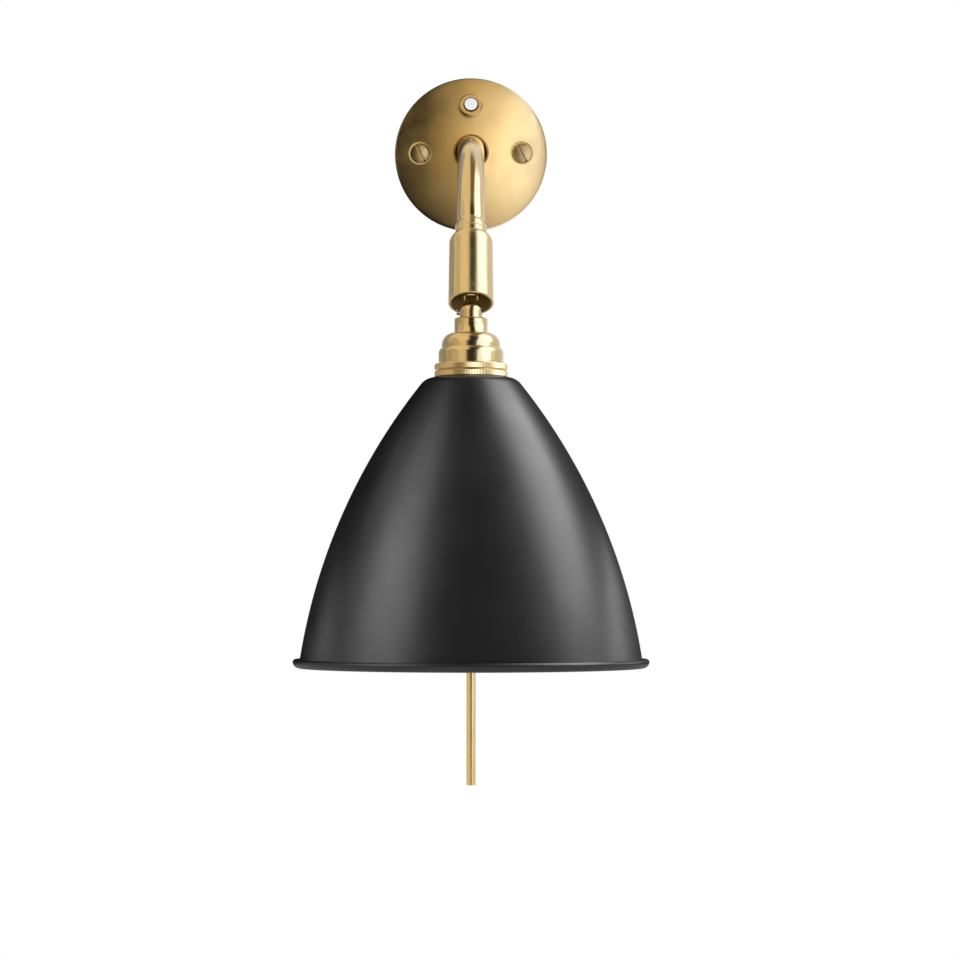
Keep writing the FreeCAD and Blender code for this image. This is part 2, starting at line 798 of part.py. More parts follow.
def lower_knuckle():
    """Round-headed stem, slotted at the top and back for the tongue, closed at the front."""
    body = new_body("lower_knuckle")
    turn(body, [
        ("0", "-(knuckle_drop + knuckle_thread)"),
        ("stem_radius", "-(knuckle_drop + knuckle_thread)"),
        ("stem_radius", "-knuckle_drop"),
        ("knuckle_radius", "-knuckle_drop"),
        ("knuckle_radius", "0", "knuckle_radius", -1),
        ("0", "knuckle_radius"),
    ])
    doc.recompute()
    half = "tongue_width / 2 + slide_gap"
    for lean in ("0", "-fold_angle"):
        slot = sketch_on(body, "YZ_Plane")
        slot.setExpression("AttachmentOffset.Rotation.Angle", bound(lean))
        draw_outline(slot, [
            (f"-({half})", "knuckle_radius + 1"),
            (f"-({half})", "0", half, -1),
            ("0", f"-({half})", half, -1),
            (half, "0"),
            (half, "knuckle_radius + 1"),
        ])
        feature = cut_through(body, slot)
        feature.Type = 0
        feature.setExpression("Length", bound("tongue_thickness + 2 * slide_gap"))
    doc.recompute()
    bore = sketch_on(body, "XY_Plane", "-(knuckle_drop + knuckle_thread)")
    draw_circle(bore, "0", "0", "swivel_bore")
    cut(body, bore, "knuckle_drop + knuckle_thread", reverse=True)
    pivot = sketch_on(body, "YZ_Plane")
    draw_circle(pivot, "0", "0", "hinge_radius + thread_gap")
    cut_through(body, pivot)
    seat = sketch_on(body, "YZ_Plane", "tongue_thickness / 2 + slide_gap + hinge_cheek")
    draw_circle(seat, "0", "0", "hinge_head_radius + hole_gap")
    cut(body, seat, "knuckle_radius", reverse=True)
    return node(body, lamp_frame())


def hinge_fixing():
    """Steel pivot screw: head sunk in the right cheek, tip standing out at the left."""
    floor = "tongue_thickness / 2 + slide_gap + hinge_cheek"
    under_head = f"{floor} + hinge_washer_height"
    body = turned("hinge_screw", [
        ("0", f"-({under_head} + hinge_head_height)"),
        ("hinge_head_radius", f"-({under_head} + hinge_head_height)"),
        ("hinge_head_radius", f"-({under_head})"),
        ("hinge_radius", f"-({under_head})"),
        ("hinge_radius", "knuckle_radius + hinge_tip - 0.3"),
        ("hinge_radius - 0.3", "knuckle_radius + hinge_tip"),
        ("0", "knuckle_radius + hinge_tip"),
    ])
    slot = sketch_on(body, "XY_Plane", f"-({under_head} + hinge_head_height)")
    draw_box(slot, "-hinge_head_radius - 1", "hinge_head_radius + 1", "-0.3", "0.3")
    doc.recompute()
    cut(body, slot, "0.6", reverse=True)
    node(body, pin_frame())
    node(ring_of("hinge_washer", "hinge_radius + hole_gap / 2", "hinge_head_radius",
                 f"-({under_head})", f"-({floor})"), pin_frame())


# ---------------------------------------------------------------- lampholder

def lampholder_cap():
    """Neck and domed cap that screw on the knuckle's thread."""
    dome_foot = f"-({CAP_FOOT} - 1)"
    centre = "cap_radius - dome_round"
    inner_round = "(dome_round - cap_wall)"
    seat = f"barrel_spigot + end_gap - ({CAP_FOOT})"
    seat_edge = f"{centre} + sqrt({inner_round} ^ 2 - (barrel_spigot + end_gap - 1) ^ 2)"
    return node(turned("lampholder_cap", [
        ("stem_radius + thread_gap", "-knuckle_drop"),
        ("neck_radius - 0.5", "-knuckle_drop"),
        ("neck_radius", "-(knuckle_drop + 0.5)"),
        ("neck_radius", f"-({NECK_FOOT})"),
        ("neck_radius + dome_step", f"{dome_foot} + dome_round", "dome_round", 1),
        ("cap_radius", dome_foot),
        ("cap_radius", down(CAP_FOOT)),
        (f"{centre} + {inner_round}", down(CAP_FOOT)),
        (f"{centre} + {inner_round}", seat),
        (seat_edge, seat, inner_round, -1),
        (centre, f"{dome_foot} + {inner_round}"),
        ("stem_radius + cap_wall", down("knuckle_drop + knuckle_thread + 0.4")),
        ("stem_radius + thread_gap", down("knuckle_drop + knuckle_thread + 0.4")),
    ]), lamp_frame())


def lampholder_barrel():
    """Skirt with an ogee shoulder, thread sleeve for the rings, and a shelf for the insert."""
    spigot = "cap_radius - cap_wall - thread_gap"
    bore = "thread_radius - barrel_wall"
    return node(turned("lampholder_barrel", [
        (f"{bore} - cap_wall", f"-({CAP_FOOT}) + barrel_spigot"),
        (spigot, f"-({CAP_FOOT}) + barrel_spigot"),
        (spigot, down(CAP_FOOT)),
        ("cap_radius", down(CAP_FOOT)),
        ("cap_radius + 0.3", f"-({CAP_FOOT} + 0.3)", "skirt_round", 1),
        ("skirt_radius", f"-({CAP_FOOT} + skirt_round)"),
        ("skirt_radius", down(SKIRT_FOOT)),
        ("thread_radius", down(SKIRT_FOOT)),
        ("thread_radius", f"-({SKIRT_FOOT} + thread_length)"),
        (bore, f"-({SKIRT_FOOT} + thread_length)"),
        (bore, f"-({SHELF} + shelf_height + 1)"),
        (f"{bore} - 2 * cap_wall", f"-({SHELF} + shelf_height)"),
        (f"{bore} - 2 * cap_wall", down(SHELF)),
        (f"{bore} - cap_wall", down(SHELF)),
    ]), lamp_frame())


def shade_rings():
    """Two knurled rings above the shade and a plain one inside it, all on the sleeve's thread."""
    bore = "thread_radius + thread_gap"
    for number, label in enumerate(("upper_shade_ring", "lower_shade_ring")):
        top = f"-({RINGS_TOP} + {number} * ring_height)"
        foot = f"{top} - ring_height"
        node(turned(label, [
            (bore, foot),
            ("ring_radius - ring_edge", foot),
            ("ring_radius", f"{foot} + ring_edge"),
            ("ring_radius", f"{top} - ring_edge"),
            ("ring_radius - ring_edge", top),
            (bore, top),
        ]), lamp_frame())
    node(ring_of("inner_shade_ring", bore, "inner_ring_radius",
                 f"-({SHADE_UNDER} + inner_ring_height)", down(SHADE_UNDER)), lamp_frame())


def lampholder_inside():
    """Ceramic insert with its screw shell, centre contact and two wire terminals."""
    outside = "thread_radius - barrel_wall - cap_wall - insert_clear"
    shell_bore = "shell_radius + insert_clear"
    node(turned("lampholder_insert", [
        ("0", down(INSERT_TOP)),
        (outside, down(INSERT_TOP)),
        (outside, down(SHELF)),
        (f"{shell_bore} + sleeve_wall", down(SHELF)),
        (f"{shell_bore} + sleeve_wall", f"-({SHELL_FOOT} + 1)"),
        (shell_bore, f"-({SHELL_FOOT} + 1)"),
        (shell_bore, down(INSERT_UNDER)),
        ("0", down(INSERT_UNDER)),
    ]), lamp_frame())
    node(turned("screw_shell", [
        ("bulb_contact_radius + 1.6", down(INSERT_UNDER)),
        ("shell_radius", down(INSERT_UNDER)),
        ("shell_radius", down(SHELL_FOOT)),
        ("shell_radius - shell_wall", down(SHELL_FOOT)),
        ("shell_radius - shell_wall", f"-({INSERT_UNDER} + shell_wall)"),
        ("bulb_contact_radius + 1.6", f"-({INSERT_UNDER} + shell_wall)"),
    ]), lamp_frame())
    node(turned("centre_contact", [
        ("0", down(CONTACT_FOOT)),
        ("bulb_contact_radius", down(CONTACT_FOOT)),
        ("bulb_contact_radius", f"0.7 - ({CONTACT_FOOT})"),
        ("bulb_contact_radius / 2", f"0.7 - ({CONTACT_FOOT})"),
        ("bulb_contact_radius / 2", down(INSERT_UNDER)),
        ("0", down(INSERT_UNDER)),
    ]), lamp_frame())
    pair = [wire_terminal(side) for side in (1, -1)]
    node(group("holder_terminals", pair))


def wire_terminal(side):
    """Brass pillar on the insert with a cross hole for the wire."""
    body = new_body(f"holder_terminal_{'right' if side > 0 else 'left'}")
    turn(body, [
        ("0", down(INSERT_TOP)),
        ("terminal_radius", down(INSERT_TOP)),
        ("terminal_radius", f"terminal_height - ({INSERT_TOP}) - 0.3"),
        ("terminal_radius - 0.3", f"terminal_height - ({INSERT_TOP})"),
        ("0", f"terminal_height - ({INSERT_TOP})"),
    ])
    hole = sketch_on(body, "XZ_Plane")
    draw_circle(hole, "0", f"terminal_height / 2 - ({INSERT_TOP})", "terminal_radius / 2")
    doc.recompute()
    cut_through(body, hole)
    offset = Placement(Vector(side * worth("terminal_offset"), 0, 0), Rotation())
    body.Placement = lamp_frame() * offset
    return body


# ---------------------------------------------------------------- shade and bulb

def shade():
    """Spun bell: flat top, rounded shoulder, one long curve, and a turned-out rolled rim."""
    shoulder, slope = "shade_shoulder_radius", "shade_top_angle"
    curve, steep = "shade_curve_radius", "shade_end_angle"
    top = f"-({SHADE_TOP})"
    shoulder_out = f"(shade_flat_radius + {shoulder} * sin({slope}))"
    shoulder_up = f"({top} - {shoulder} * (1 - cos({slope})))"
    end_out = f"({shoulder_out} + {curve} * (sin({steep}) - sin({slope})))"
    end_up = f"({shoulder_up} - {curve} * (cos({slope}) - cos({steep})))"
    rim_out = f"{end_out} + rim_overhang"
    hole = "thread_radius + shade_hole_gap"
    return node(turned("shade", [
        (hole, top),
        ("shade_flat_radius", top, shoulder, 1),
        (shoulder_out, shoulder_up, curve, 1),
        (end_out, end_up),
        (f"{rim_out} - 0.8", end_up),
        (rim_out, f"{end_up} - 1"),
        (rim_out, f"{end_up} - rim_height + rim_round", "rim_round", 1),
        (f"{rim_out} - rim_round", f"{end_up} - rim_height"),
        (f"{end_out} - shade_wall", f"{end_up} - rim_height"),
        (f"{end_out} - shade_wall * sin({steep})", f"{end_up} - shade_wall * cos({steep})",
         f"{curve} - shade_wall", -1),
        (f"{shoulder_out} - shade_wall * sin({slope})",
         f"{shoulder_up} - shade_wall * cos({slope})", f"{shoulder} - shade_wall", -1),
        ("shade_flat_radius", f"{top} - shade_wall"),
        (hole, f"{top} - shade_wall"),
    ]), lamp_frame())


def bulb():
    """Golf-ball bulb with a small screw cap."""
    node(ring_of("bulb_contact", "0", "bulb_contact_radius", down(BULB_CAP_TOP),
                 down(BULB_TOP)), lamp_frame())
    node(turned("bulb_cap", [
        ("0", down(BULB_CAP_TOP)),
        ("bulb_contact_radius + 0.6", down(BULB_CAP_TOP)),
        ("bulb_cap_radius", f"-({BULB_CAP_TOP} + 2.5)"),
        ("bulb_cap_radius", down(BULB_CAP_FOOT)),
        ("0", down(BULB_CAP_FOOT)),
    ]), lamp_frame())
    ball = f"({BULB_TOP} + bulb_length - bulb_ball_radius)"
    neck = f"({BULB_CAP_FOOT} + bulb_neck_length)"
    meet = f"sqrt(bulb_ball_radius ^ 2 - ({ball} - {neck}) ^ 2)"
    inside = "(bulb_ball_radius - bulb_glass_wall)"
    neck_inside = f"({neck} + bulb_glass_wall)"
    meet_inside = f"sqrt({inside} ^ 2 - ({ball} - {neck_inside}) ^ 2)"
    node(turned("bulb_glass", [
        ("bulb_cap_radius - 0.3", down(BULB_CAP_FOOT), "2 * bulb_neck_length", -1),
        (meet, down(neck), "bulb_ball_radius", 1),
        ("bulb_ball_radius", down(ball), "bulb_ball_radius", 1),
        ("0", f"-({ball} + bulb_ball_radius)"),
        ("0", f"-({ball}) - {inside}", f"{inside}", -1),
        (inside, down(ball), f"{inside}", -1),
        (meet_inside, down(neck_inside), "2 * bulb_neck_length", 1),
        ("bulb_cap_radius - 0.3 - bulb_glass_wall", down(BULB_CAP_FOOT)),
    ]), lamp_frame())


# ---------------------------------------------------------------- push switch

def push_switch():
    """Brass bush and nut clamp the dome; the button slides in the bush and stops under it."""
    bore = "button_radius + button_gap"
    node(turned("switch_bush", [
        (bore, "-bush_barrel_length"),
        ("bush_barrel_radius", "-bush_barrel_length"),
        ("bush_barrel_radius", "0"),
        ("bush_radius", "0"),
        ("bush_radius", "bush_height - bush_bevel"),
        ("bush_radius - bush_bevel", "bush_height"),
        (f"{bore} + bush_bevel", "bush_height"),
        (bore, "bush_height - bush_bevel"),
    ]), switch_frame())
    nut_top = "plate_wall + switch_nut_seat"
    node(hexagon_nut("switch_nut", "switch_nut_flats", "bush_barrel_radius + thread_gap",
                     f"-({nut_top} + switch_nut_height)", "switch_nut_height"), switch_frame())
    body_top = f"({nut_top} + switch_nut_height + end_gap)"
    body_foot = f"({body_top} + switch_body_length)"
    room = "switch_body_radius - switch_body_wall"
    node(turned("switch_body", [
        ("0", down(body_foot)),
        ("switch_body_radius", down(body_foot)),
        ("switch_body_radius", down(body_top)),
        ("bush_barrel_radius + thread_gap", down(body_top)),
        ("bush_barrel_radius + thread_gap", "-bush_barrel_length"),
        (room, "-bush_barrel_length"),
        (room, f"-({body_foot} - switch_body_floor)"),
        ("0", f"-({body_foot} - switch_body_floor)"),
    ]), switch_frame())
    flange_top = "-(bush_barrel_length + end_gap)"
    flange_foot = f"({flange_top} - button_flange_height)"
    edge = "bush_height + button_proud"
    crown = "(button_radius ^ 2 + button_crown ^ 2) / (2 * button_crown)"
    node(turned("switch_button", [
        ("0", f"{flange_foot} - plunger_length"),
        ("plunger_radius", f"{flange_foot} - plunger_length"),
        ("plunger_radius", flange_foot),
        ("button_flange_radius", flange_foot),
        ("button_flange_radius", flange_top),
        ("button_radius", flange_top),
        ("button_radius", edge, crown, -1),
        ("0", f"{edge} + button_crown"),
    ]), switch_frame())
    tags = [switch_tag(side, body_foot) for side in (1, -1)]
    node(group("switch_terminals", tags))


def switch_tag(side, body_foot):
    """One flat solder tag behind the switch."""
    tag = doc.addObject("Part::Box", f"switch_tag_{'upper' if side > 0 else 'lower'}")
    tag.setExpression("Length", bound("switch_tag_width"))
    tag.setExpression("Width", bound("switch_tag_thickness"))
    tag.setExpression("Height", bound("switch_tag_length"))
    corner = Vector(-worth("switch_tag_width / 2"),
                    side * worth("switch_tag_offset") - worth("switch_tag_thickness / 2"),
                    -worth(f"{body_foot} + switch_tag_length"))
    tag.Placement = switch_frame() * Placement(corner, Rotation())
    return tag


# ---------------------------------------------------------------- cable tube and wiring

def cable_tube():
    """Straight thin tube down the wall, for the lead."""
    body = new_body("cable_tube")
    ring = sketch_on(body, "XZ_Plane", "tube_top")
    draw_circle(ring, "0", TUBE_CENTRE, "tube_radius")
    draw_circle(ring, "0", TUBE_CENTRE, "tube_radius - tube_wall")
    pad(body, ring, "tube_end - tube_top")
    return node(body, wall_frame())


def tube_saddle():
    """Pressed strap over the tube, with a flat foot each side on the backing plate."""
    body = new_body("tube_saddle")
    inner = "(tube_radius + 2 * thread_gap)"
    outer = f"({inner} + saddle_thickness)"
    foot_top = "backing_thickness + saddle_thickness"
    side = f"sqrt({outer} ^ 2 - ({foot_top} - ({TUBE_CENTRE})) ^ 2)"
    profile = sketch_on(body, "XZ_Plane", "saddle_height - saddle_length / 2")
    draw_outline(profile, [
        ("-saddle_reach", "backing_thickness"),
        (f"-{inner}", "backing_thickness"),
        (f"-{inner}", TUBE_CENTRE, inner, 1),
        ("0", f"{TUBE_CENTRE} + {inner}", inner, 1),
        (inner, TUBE_CENTRE),
        (inner, "backing_thickness"),
        ("saddle_reach", "backing_thickness"),
        ("saddle_reach", foot_top),
        (side, foot_top, outer, -1),
        (f"-{side}", foot_top),
        ("-saddle_reach", foot_top),
    ])
    pad(body, profile, "saddle_length")
    doc.recompute()
    holes = sketch_on(body, "XY_Plane")
    for sign in ("", "-"):
        draw_circle(holes, f"{sign}saddle_screw_offset", "-saddle_height",
                    "small_screw_radius + hole_gap")
    cut_through(body, holes)
    node(body, wall_frame())
    screws = [small_screw(f"saddle_screw_{number}", side * worth("saddle_screw_offset"),
                          -worth("saddle_height"), foot_top, "-1")
              for number, side in enumerate((1, -1), start=1)]
    node(group("saddle_screws", screws))


def small_screw(label, across, up, seat, tip):
    """Small pan-head screw square to the wall, its head on the seat."""
    body = new_body(label)
    turn(body, [
        ("0", tip),
        ("small_screw_radius", tip),
        ("small_screw_radius", seat),
        ("small_head_radius", seat),
        ("small_head_radius", f"{seat} + small_head_height - 0.4"),
        ("small_head_radius - 0.4", f"{seat} + small_head_height"),
        ("0", f"{seat} + small_head_height"),
    ])
    slot = sketch_on(body, "XY_Plane", f"{seat} + small_head_height")
    draw_box(slot, "-small_head_radius - 1", "small_head_radius + 1", "-0.3", "0.3")
    doc.recompute()
    cut(body, slot, "0.6")
    body.Placement = wall_frame() * Placement(Vector(across, up, 0), Rotation())
    return body


def terminal_block():
    """Two-way block behind the backing plate, its own screw from the front, and an earth screw."""
    body = new_body("terminal_block")
    outline = sketch_on(body, "XY_Plane", "-block_height")
    draw_box(outline, "block_out - block_length / 2", "block_out + block_length / 2",
             "-block_down - block_width / 2", "-block_down + block_width / 2")
    pad(body, outline, "block_height")
    doc.recompute()
    middle = sketch_on(body, "XY_Plane")
    draw_circle(middle, "block_out", "-block_down", "small_screw_radius + thread_gap")
    cut_through(body, middle)
    clamps = sketch_on(body, "XY_Plane", "-block_height")
    wires = sketch_on(body, "XZ_Plane")
    for sign in ("+", "-"):
        across = f"block_out {sign} block_screw_spacing / 2"
        draw_circle(clamps, across, "-block_down", "small_head_radius + hole_gap")
        draw_circle(wires, across, "-block_height / 3", "1.3")
    cut(body, clamps, "block_height / 2", reverse=True)
    cut_through(body, wires)
    node(body, wall_frame())
    clamp_screws = [clamp_screw(side) for side in (1, -1)]
    node(group("terminal_screws", clamp_screws))
    node(small_screw("block_screw", worth("block_out"), -worth("block_down"),
                     "backing_thickness", "1 - block_height"))
    node(turned("earth_screw", [
        ("0", "-2.4"),
        ("2 * screw_radius", "-2.4"),
        ("2 * screw_radius", "0"),
        ("screw_radius", "0"),
        ("screw_radius", "backing_thickness + 1.5"),
        ("0", "backing_thickness + 1.5"),
    ]), wall_frame() * Placement(Vector(worth("earth_out"), -worth("earth_down"), 0),
                                 Rotation()))


def clamp_screw(side):
    """Grub screw that clamps one wire in the block."""
    body = turned(f"clamp_screw_{'right' if side > 0 else 'left'}", [
        ("0", "-block_height / 2"),
        ("small_head_radius", "-block_height / 2"),
        ("small_head_radius", "0.3 - block_height"),
        ("0", "0.3 - block_height"),
    ])
    across = worth("block_out") + side * worth("block_screw_spacing") / 2
    offset = Placement(Vector(across, -worth("block_down"), 0), Rotation())
    body.Placement = wall_frame() * offset
    return body


# ---------------------------------------------------------------- build, check and write

def build():
    wall_plate()
    node(group("plate_screws", [plate_screw(side) for side in (1, -1)]))
    backing_plate()
    arm_tube()
    arm_fixing()
    arm_ferrule()
    joint_cup()
    swivel_parts()
    upper_knuckle()
    lower_knuckle()
    hinge_fixing()
    lampholder_cap()
    lampholder_barrel()
    shade_rings()
    lampholder_inside()
    shade()
    bulb()
    push_switch()
    cable_tube()
    tube_saddle()
    terminal_block()
    doc.recompute()


def check():
    for item in doc.Objects:
        if "Invalid" in item.State or "Error" in item.State:
            raise RuntimeError(f"{item.Name} failed to recompute: {item.State}")
    for part in NODES:
        if part.Shape.isNull() or not part.Shape.isValid():
            raise RuntimeError(f"{part.Label} has no valid shape")


def write():
    os.makedirs("parts", exist_ok=True)
    for part in NODES:
        part.Shape.exportStep(os.path.join("parts", f"{part.Label}.step"))
    print(f"{len(NODES)} nodes written, pivot at {hinge_point()}")


build()
check()
write()
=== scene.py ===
# %% [markdown]
# # A brass wall lamp with a black bell shade
#
# The real lamp is a small piece of turned and spun metalwork: a domed wall plate, a bent tube, a
# cup that hides a joint, a lampholder with two knurled rings, and a bell spun from thin sheet.
# Its solids come ready made in a fixed frame. This lesson dresses them: it sets a camera and a
# small studio, mixes the metals and paints, and rebuilds the pieces whose detail is too fine for
# the solids, such as knurling, threads and the rolled rim. Blender's unit is the metre. Sizes of
# the pieces are written in millimetres, and MM turns them into metres.

import json
import math

import bmesh
import bpy
from mathutils import Matrix, Vector


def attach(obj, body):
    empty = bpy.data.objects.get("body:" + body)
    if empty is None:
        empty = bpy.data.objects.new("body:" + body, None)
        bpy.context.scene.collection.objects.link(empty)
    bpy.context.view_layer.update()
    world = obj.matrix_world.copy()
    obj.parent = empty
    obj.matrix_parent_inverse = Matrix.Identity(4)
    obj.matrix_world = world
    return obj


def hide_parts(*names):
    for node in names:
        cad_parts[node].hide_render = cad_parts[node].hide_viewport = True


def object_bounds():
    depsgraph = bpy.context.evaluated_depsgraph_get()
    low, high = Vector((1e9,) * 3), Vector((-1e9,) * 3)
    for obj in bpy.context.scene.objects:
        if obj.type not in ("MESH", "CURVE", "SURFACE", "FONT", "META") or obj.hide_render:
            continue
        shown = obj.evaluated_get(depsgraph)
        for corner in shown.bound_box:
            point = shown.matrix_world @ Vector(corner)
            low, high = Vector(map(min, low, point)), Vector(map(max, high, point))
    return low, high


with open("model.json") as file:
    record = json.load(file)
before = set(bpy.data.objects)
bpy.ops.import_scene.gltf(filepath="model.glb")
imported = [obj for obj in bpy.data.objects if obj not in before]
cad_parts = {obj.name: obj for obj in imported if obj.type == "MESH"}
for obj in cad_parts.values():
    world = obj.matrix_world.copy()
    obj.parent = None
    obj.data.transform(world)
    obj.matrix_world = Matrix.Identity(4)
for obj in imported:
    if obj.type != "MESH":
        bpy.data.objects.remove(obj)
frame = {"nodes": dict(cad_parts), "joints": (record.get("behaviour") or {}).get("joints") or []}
nodes = frame["nodes"]
cad_box = [list(corner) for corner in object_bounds()]
MM = 0.001
print(len(nodes), "solids, box", cad_box)

# %% [markdown]
# ## Where the turned pieces stand
#
# Most pieces are round about one of three axes: the wall plate's, which leads out of the wall,
# the cup's, which leans, and the lamp's, which hangs straight down from the joint. Each gets a
# matrix whose Z axis is that axis, so that a shape can be drawn upright and then carried into
# place. The joint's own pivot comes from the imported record, and the lean from its swivel axis.

# %% Axes of the turned pieces
joints = {joint["name"]: joint for joint in frame["joints"]}
pivot = Vector(joints["head_tilt"]["pos_m"])


def frame_along(place, axis):
    """A matrix that stands at a place with its Z axis along the given direction."""
    turn = Vector((0, 0, 1)).rotation_difference(Vector(axis)).to_matrix().to_4x4()
    return Matrix.Translation(place) @ turn


wall_axis = frame_along((0, 0, 0), (0, -1, 0))
cup_axis = frame_along(pivot, joints["head_swivel"]["axis"])
lamp_axis = frame_along(pivot, (0, 0, 1))
print("the joint pivots at", [round(value / MM, 1) for value in pivot], "mm")

# %% [markdown]
# ## Camera
#
# The photograph looks straight at the wall from about 1.4 m with a long lens, from a little above
# the shade's rim. The wall plate shows as a true circle, so the camera isn't pitched: like a
# camera with a rising front it stays level and shifts its frame up. The shift is only what the
# photograph's framing needs.

# %% Camera
PHOTO_PIXELS = 960
FOCAL_PIXELS = 2800
camera_distance = 1.4065
camera_height = -0.2182
horizon_below_centre = 110
centre_left_of_middle = 9

camera_data = bpy.data.cameras.new("photo_camera")
camera_data.sensor_width = 36.0
camera_data.lens = camera_data.sensor_width * FOCAL_PIXELS / PHOTO_PIXELS
camera_data.shift_x = centre_left_of_middle / PHOTO_PIXELS
camera_data.shift_y = horizon_below_centre / PHOTO_PIXELS
camera_data.clip_end = 30.0
camera = bpy.data.objects.new("photo_camera", camera_data)
camera.location = (0.0, -camera_distance, camera_height)
camera.rotation_euler = (math.radians(90), 0, 0)
bpy.context.scene.collection.objects.link(camera)
bpy.context.scene.camera = camera
bpy.context.scene.view_settings.view_transform = "Standard"
print("lens", round(camera_data.lens, 1), "mm")

# %% [markdown]
# ## Room
#
# The lamp stands before plain white. A world can be white to the eye and still give little light:
# Light Path tells a ray that looks from a ray that lights, so the background is a full 1 while
# the light it gives is less than half of that. The floor is treated in the same way, and lies well
# below the lamp, so that views from underneath aren't blocked by it.

# %% White world
world = bpy.data.worlds.new("studio")
bpy.context.scene.world = world
world.use_nodes = True
world_nodes = world.node_tree.nodes
world_nodes.clear()


def seen_directly(tree):
    """1 for rays that show the background: to the eye, in a reflection, or through glass."""
    path = tree.nodes.new("ShaderNodeLightPath")
    first = tree.nodes.new("ShaderNodeMath")
    first.operation = "MAXIMUM"
    tree.links.new(path.outputs["Is Camera Ray"], first.inputs[0])
    tree.links.new(path.outputs["Is Glossy Ray"], first.inputs[1])
    both = tree.nodes.new("ShaderNodeMath")
    both.operation = "MAXIMUM"
    tree.links.new(first.outputs[0], both.inputs[0])
    tree.links.new(path.outputs["Is Transmission Ray"], both.inputs[1])
    return both.outputs[0]


room_light = 0.45
shown = world_nodes.new("ShaderNodeBackground")
shown.inputs["Color"].default_value = (1, 1, 1, 1)
lighting = world_nodes.new("ShaderNodeBackground")
lighting.inputs["Color"].default_value = (1, 1, 1, 1)
lighting.inputs["Strength"].default_value = room_light
choose = world_nodes.new("ShaderNodeMixShader")
world_out = world_nodes.new("ShaderNodeOutputWorld")
world.node_tree.links.new(seen_directly(world.node_tree), choose.inputs["Fac"])
world.node_tree.links.new(lighting.outputs[0], choose.inputs[1])
world.node_tree.links.new(shown.outputs[0], choose.inputs[2])
world.node_tree.links.new(choose.outputs[0], world_out.inputs["Surface"])
print("the world shows white and lights at", room_light)

# %% Pale floor
floor_white = (0.86, 0.86, 0.86)
floor_drop = 1.25
floor_reach = 40.0


def studio_mesh(name, corners, faces, material):
    """A mesh of the studio, which isn't part of the lamp."""
    mesh = bpy.data.meshes.new(name)
    mesh.from_pydata(corners, [], faces)
    mesh.materials.append(material)
    sheet = bpy.data.objects.new(name, mesh)
    bpy.context.scene.collection.objects.link(sheet)
    return sheet


floor_paint = bpy.data.materials.new("pale_floor")
floor_paint.use_nodes = True
floor_tree = floor_paint.node_tree
floor_tree.nodes.clear()
matt = floor_tree.nodes.new("ShaderNodeBsdfDiffuse")
matt.inputs["Color"].default_value = (*floor_white, 1)
glow = floor_tree.nodes.new("ShaderNodeEmission")
glow.inputs["Strength"].default_value = 1.0
blend_floor = floor_tree.nodes.new("ShaderNodeMixShader")
floor_out = floor_tree.nodes.new("ShaderNodeOutputMaterial")
floor_tree.links.new(seen_directly(floor_tree), blend_floor.inputs["Fac"])
floor_tree.links.new(matt.outputs[0], blend_floor.inputs[1])
floor_tree.links.new(glow.outputs[0], blend_floor.inputs[2])
floor_tree.links.new(blend_floor.outputs[0], floor_out.inputs["Surface"])

floor_level = cad_box[0][2] - floor_drop
floor_corners = [(side * floor_reach, depth * floor_reach, floor_level)
                 for side, depth in ((-1, -1), (1, -1), (1, 1), (-1, 1))]
studio_mesh("floor", floor_corners, [(0, 1, 2, 3)], floor_paint)
print("floor at", round(floor_level, 3), "m")

# %% [markdown]
# ## Light and reflections
#
# Polished metal shows its surroundings, so the studio is half of its finish. Two soft boxes light
# the lamp at a plain level and stay out of its reflections. What the metal mirrors is set apart
# from them: sheets bent round the lamp like slices of a globe, which only reflections see. The
# left ones are warm and soft, the right ones cooler and brighter.
#
# One set of sheets can't suit a tube, a dome and a bell at once, so each sheet belongs to a group
# of pieces, by light linking. To its own group a solid sheet is bright, and to the others it is a
# black cloth. That is how the dark line down the middle of every turned piece is made: the sheets
# straight ahead and overhead shine on the wall plate, and the arm sees them black. A clear sheet
# adds its glow to what its own group sees, and the others look through it. The bell sees every
# solid sheet black, and gets its soft bands from clear sheets alone.

# %% Soft boxes
lamp_aim = Vector((0.0, -0.09, -0.10))


def round_globe(side, rise):
    """A direction by its angle round the lamp and its height over the horizon."""
    return Vector((math.sin(side) * math.cos(rise), -math.cos(side) * math.cos(rise),
                   math.sin(rise)))


def soft_box(name, azimuth, elevation, distance, width, height, watts):
    """A lamp that gives light but stays out of reflections."""
    light = bpy.data.lights.new(name, "AREA")
    light.shape = "RECTANGLE"
    light.size, light.size_y = width, height
    light.energy = watts
    box = bpy.data.objects.new(name, light)
    place = lamp_aim + distance * round_globe(math.radians(azimuth), math.radians(elevation))
    facing = (lamp_aim - place).to_track_quat("-Z", "Y")
    box.matrix_world = Matrix.Translation(place) @ facing.to_matrix().to_4x4()
    box.visible_glossy = False
    bpy.context.scene.collection.objects.link(box)
    print(name, watts, "W")


soft_box("left_soft_box", azimuth=-58, elevation=12, distance=1.7,
         width=0.7, height=1.8, watts=7)
soft_box("right_soft_box", azimuth=55, elevation=14, distance=1.6,
         width=1.2, height=2.0, watts=24)

# %% Glow of a sheet
COOL = (0.84, 1.0, 1.40)
PLAIN = (1.0, 1.0, 1.0)
WARM = (1.0, 0.92, 0.74)
DEEP = (1.0, 0.79, 0.38)


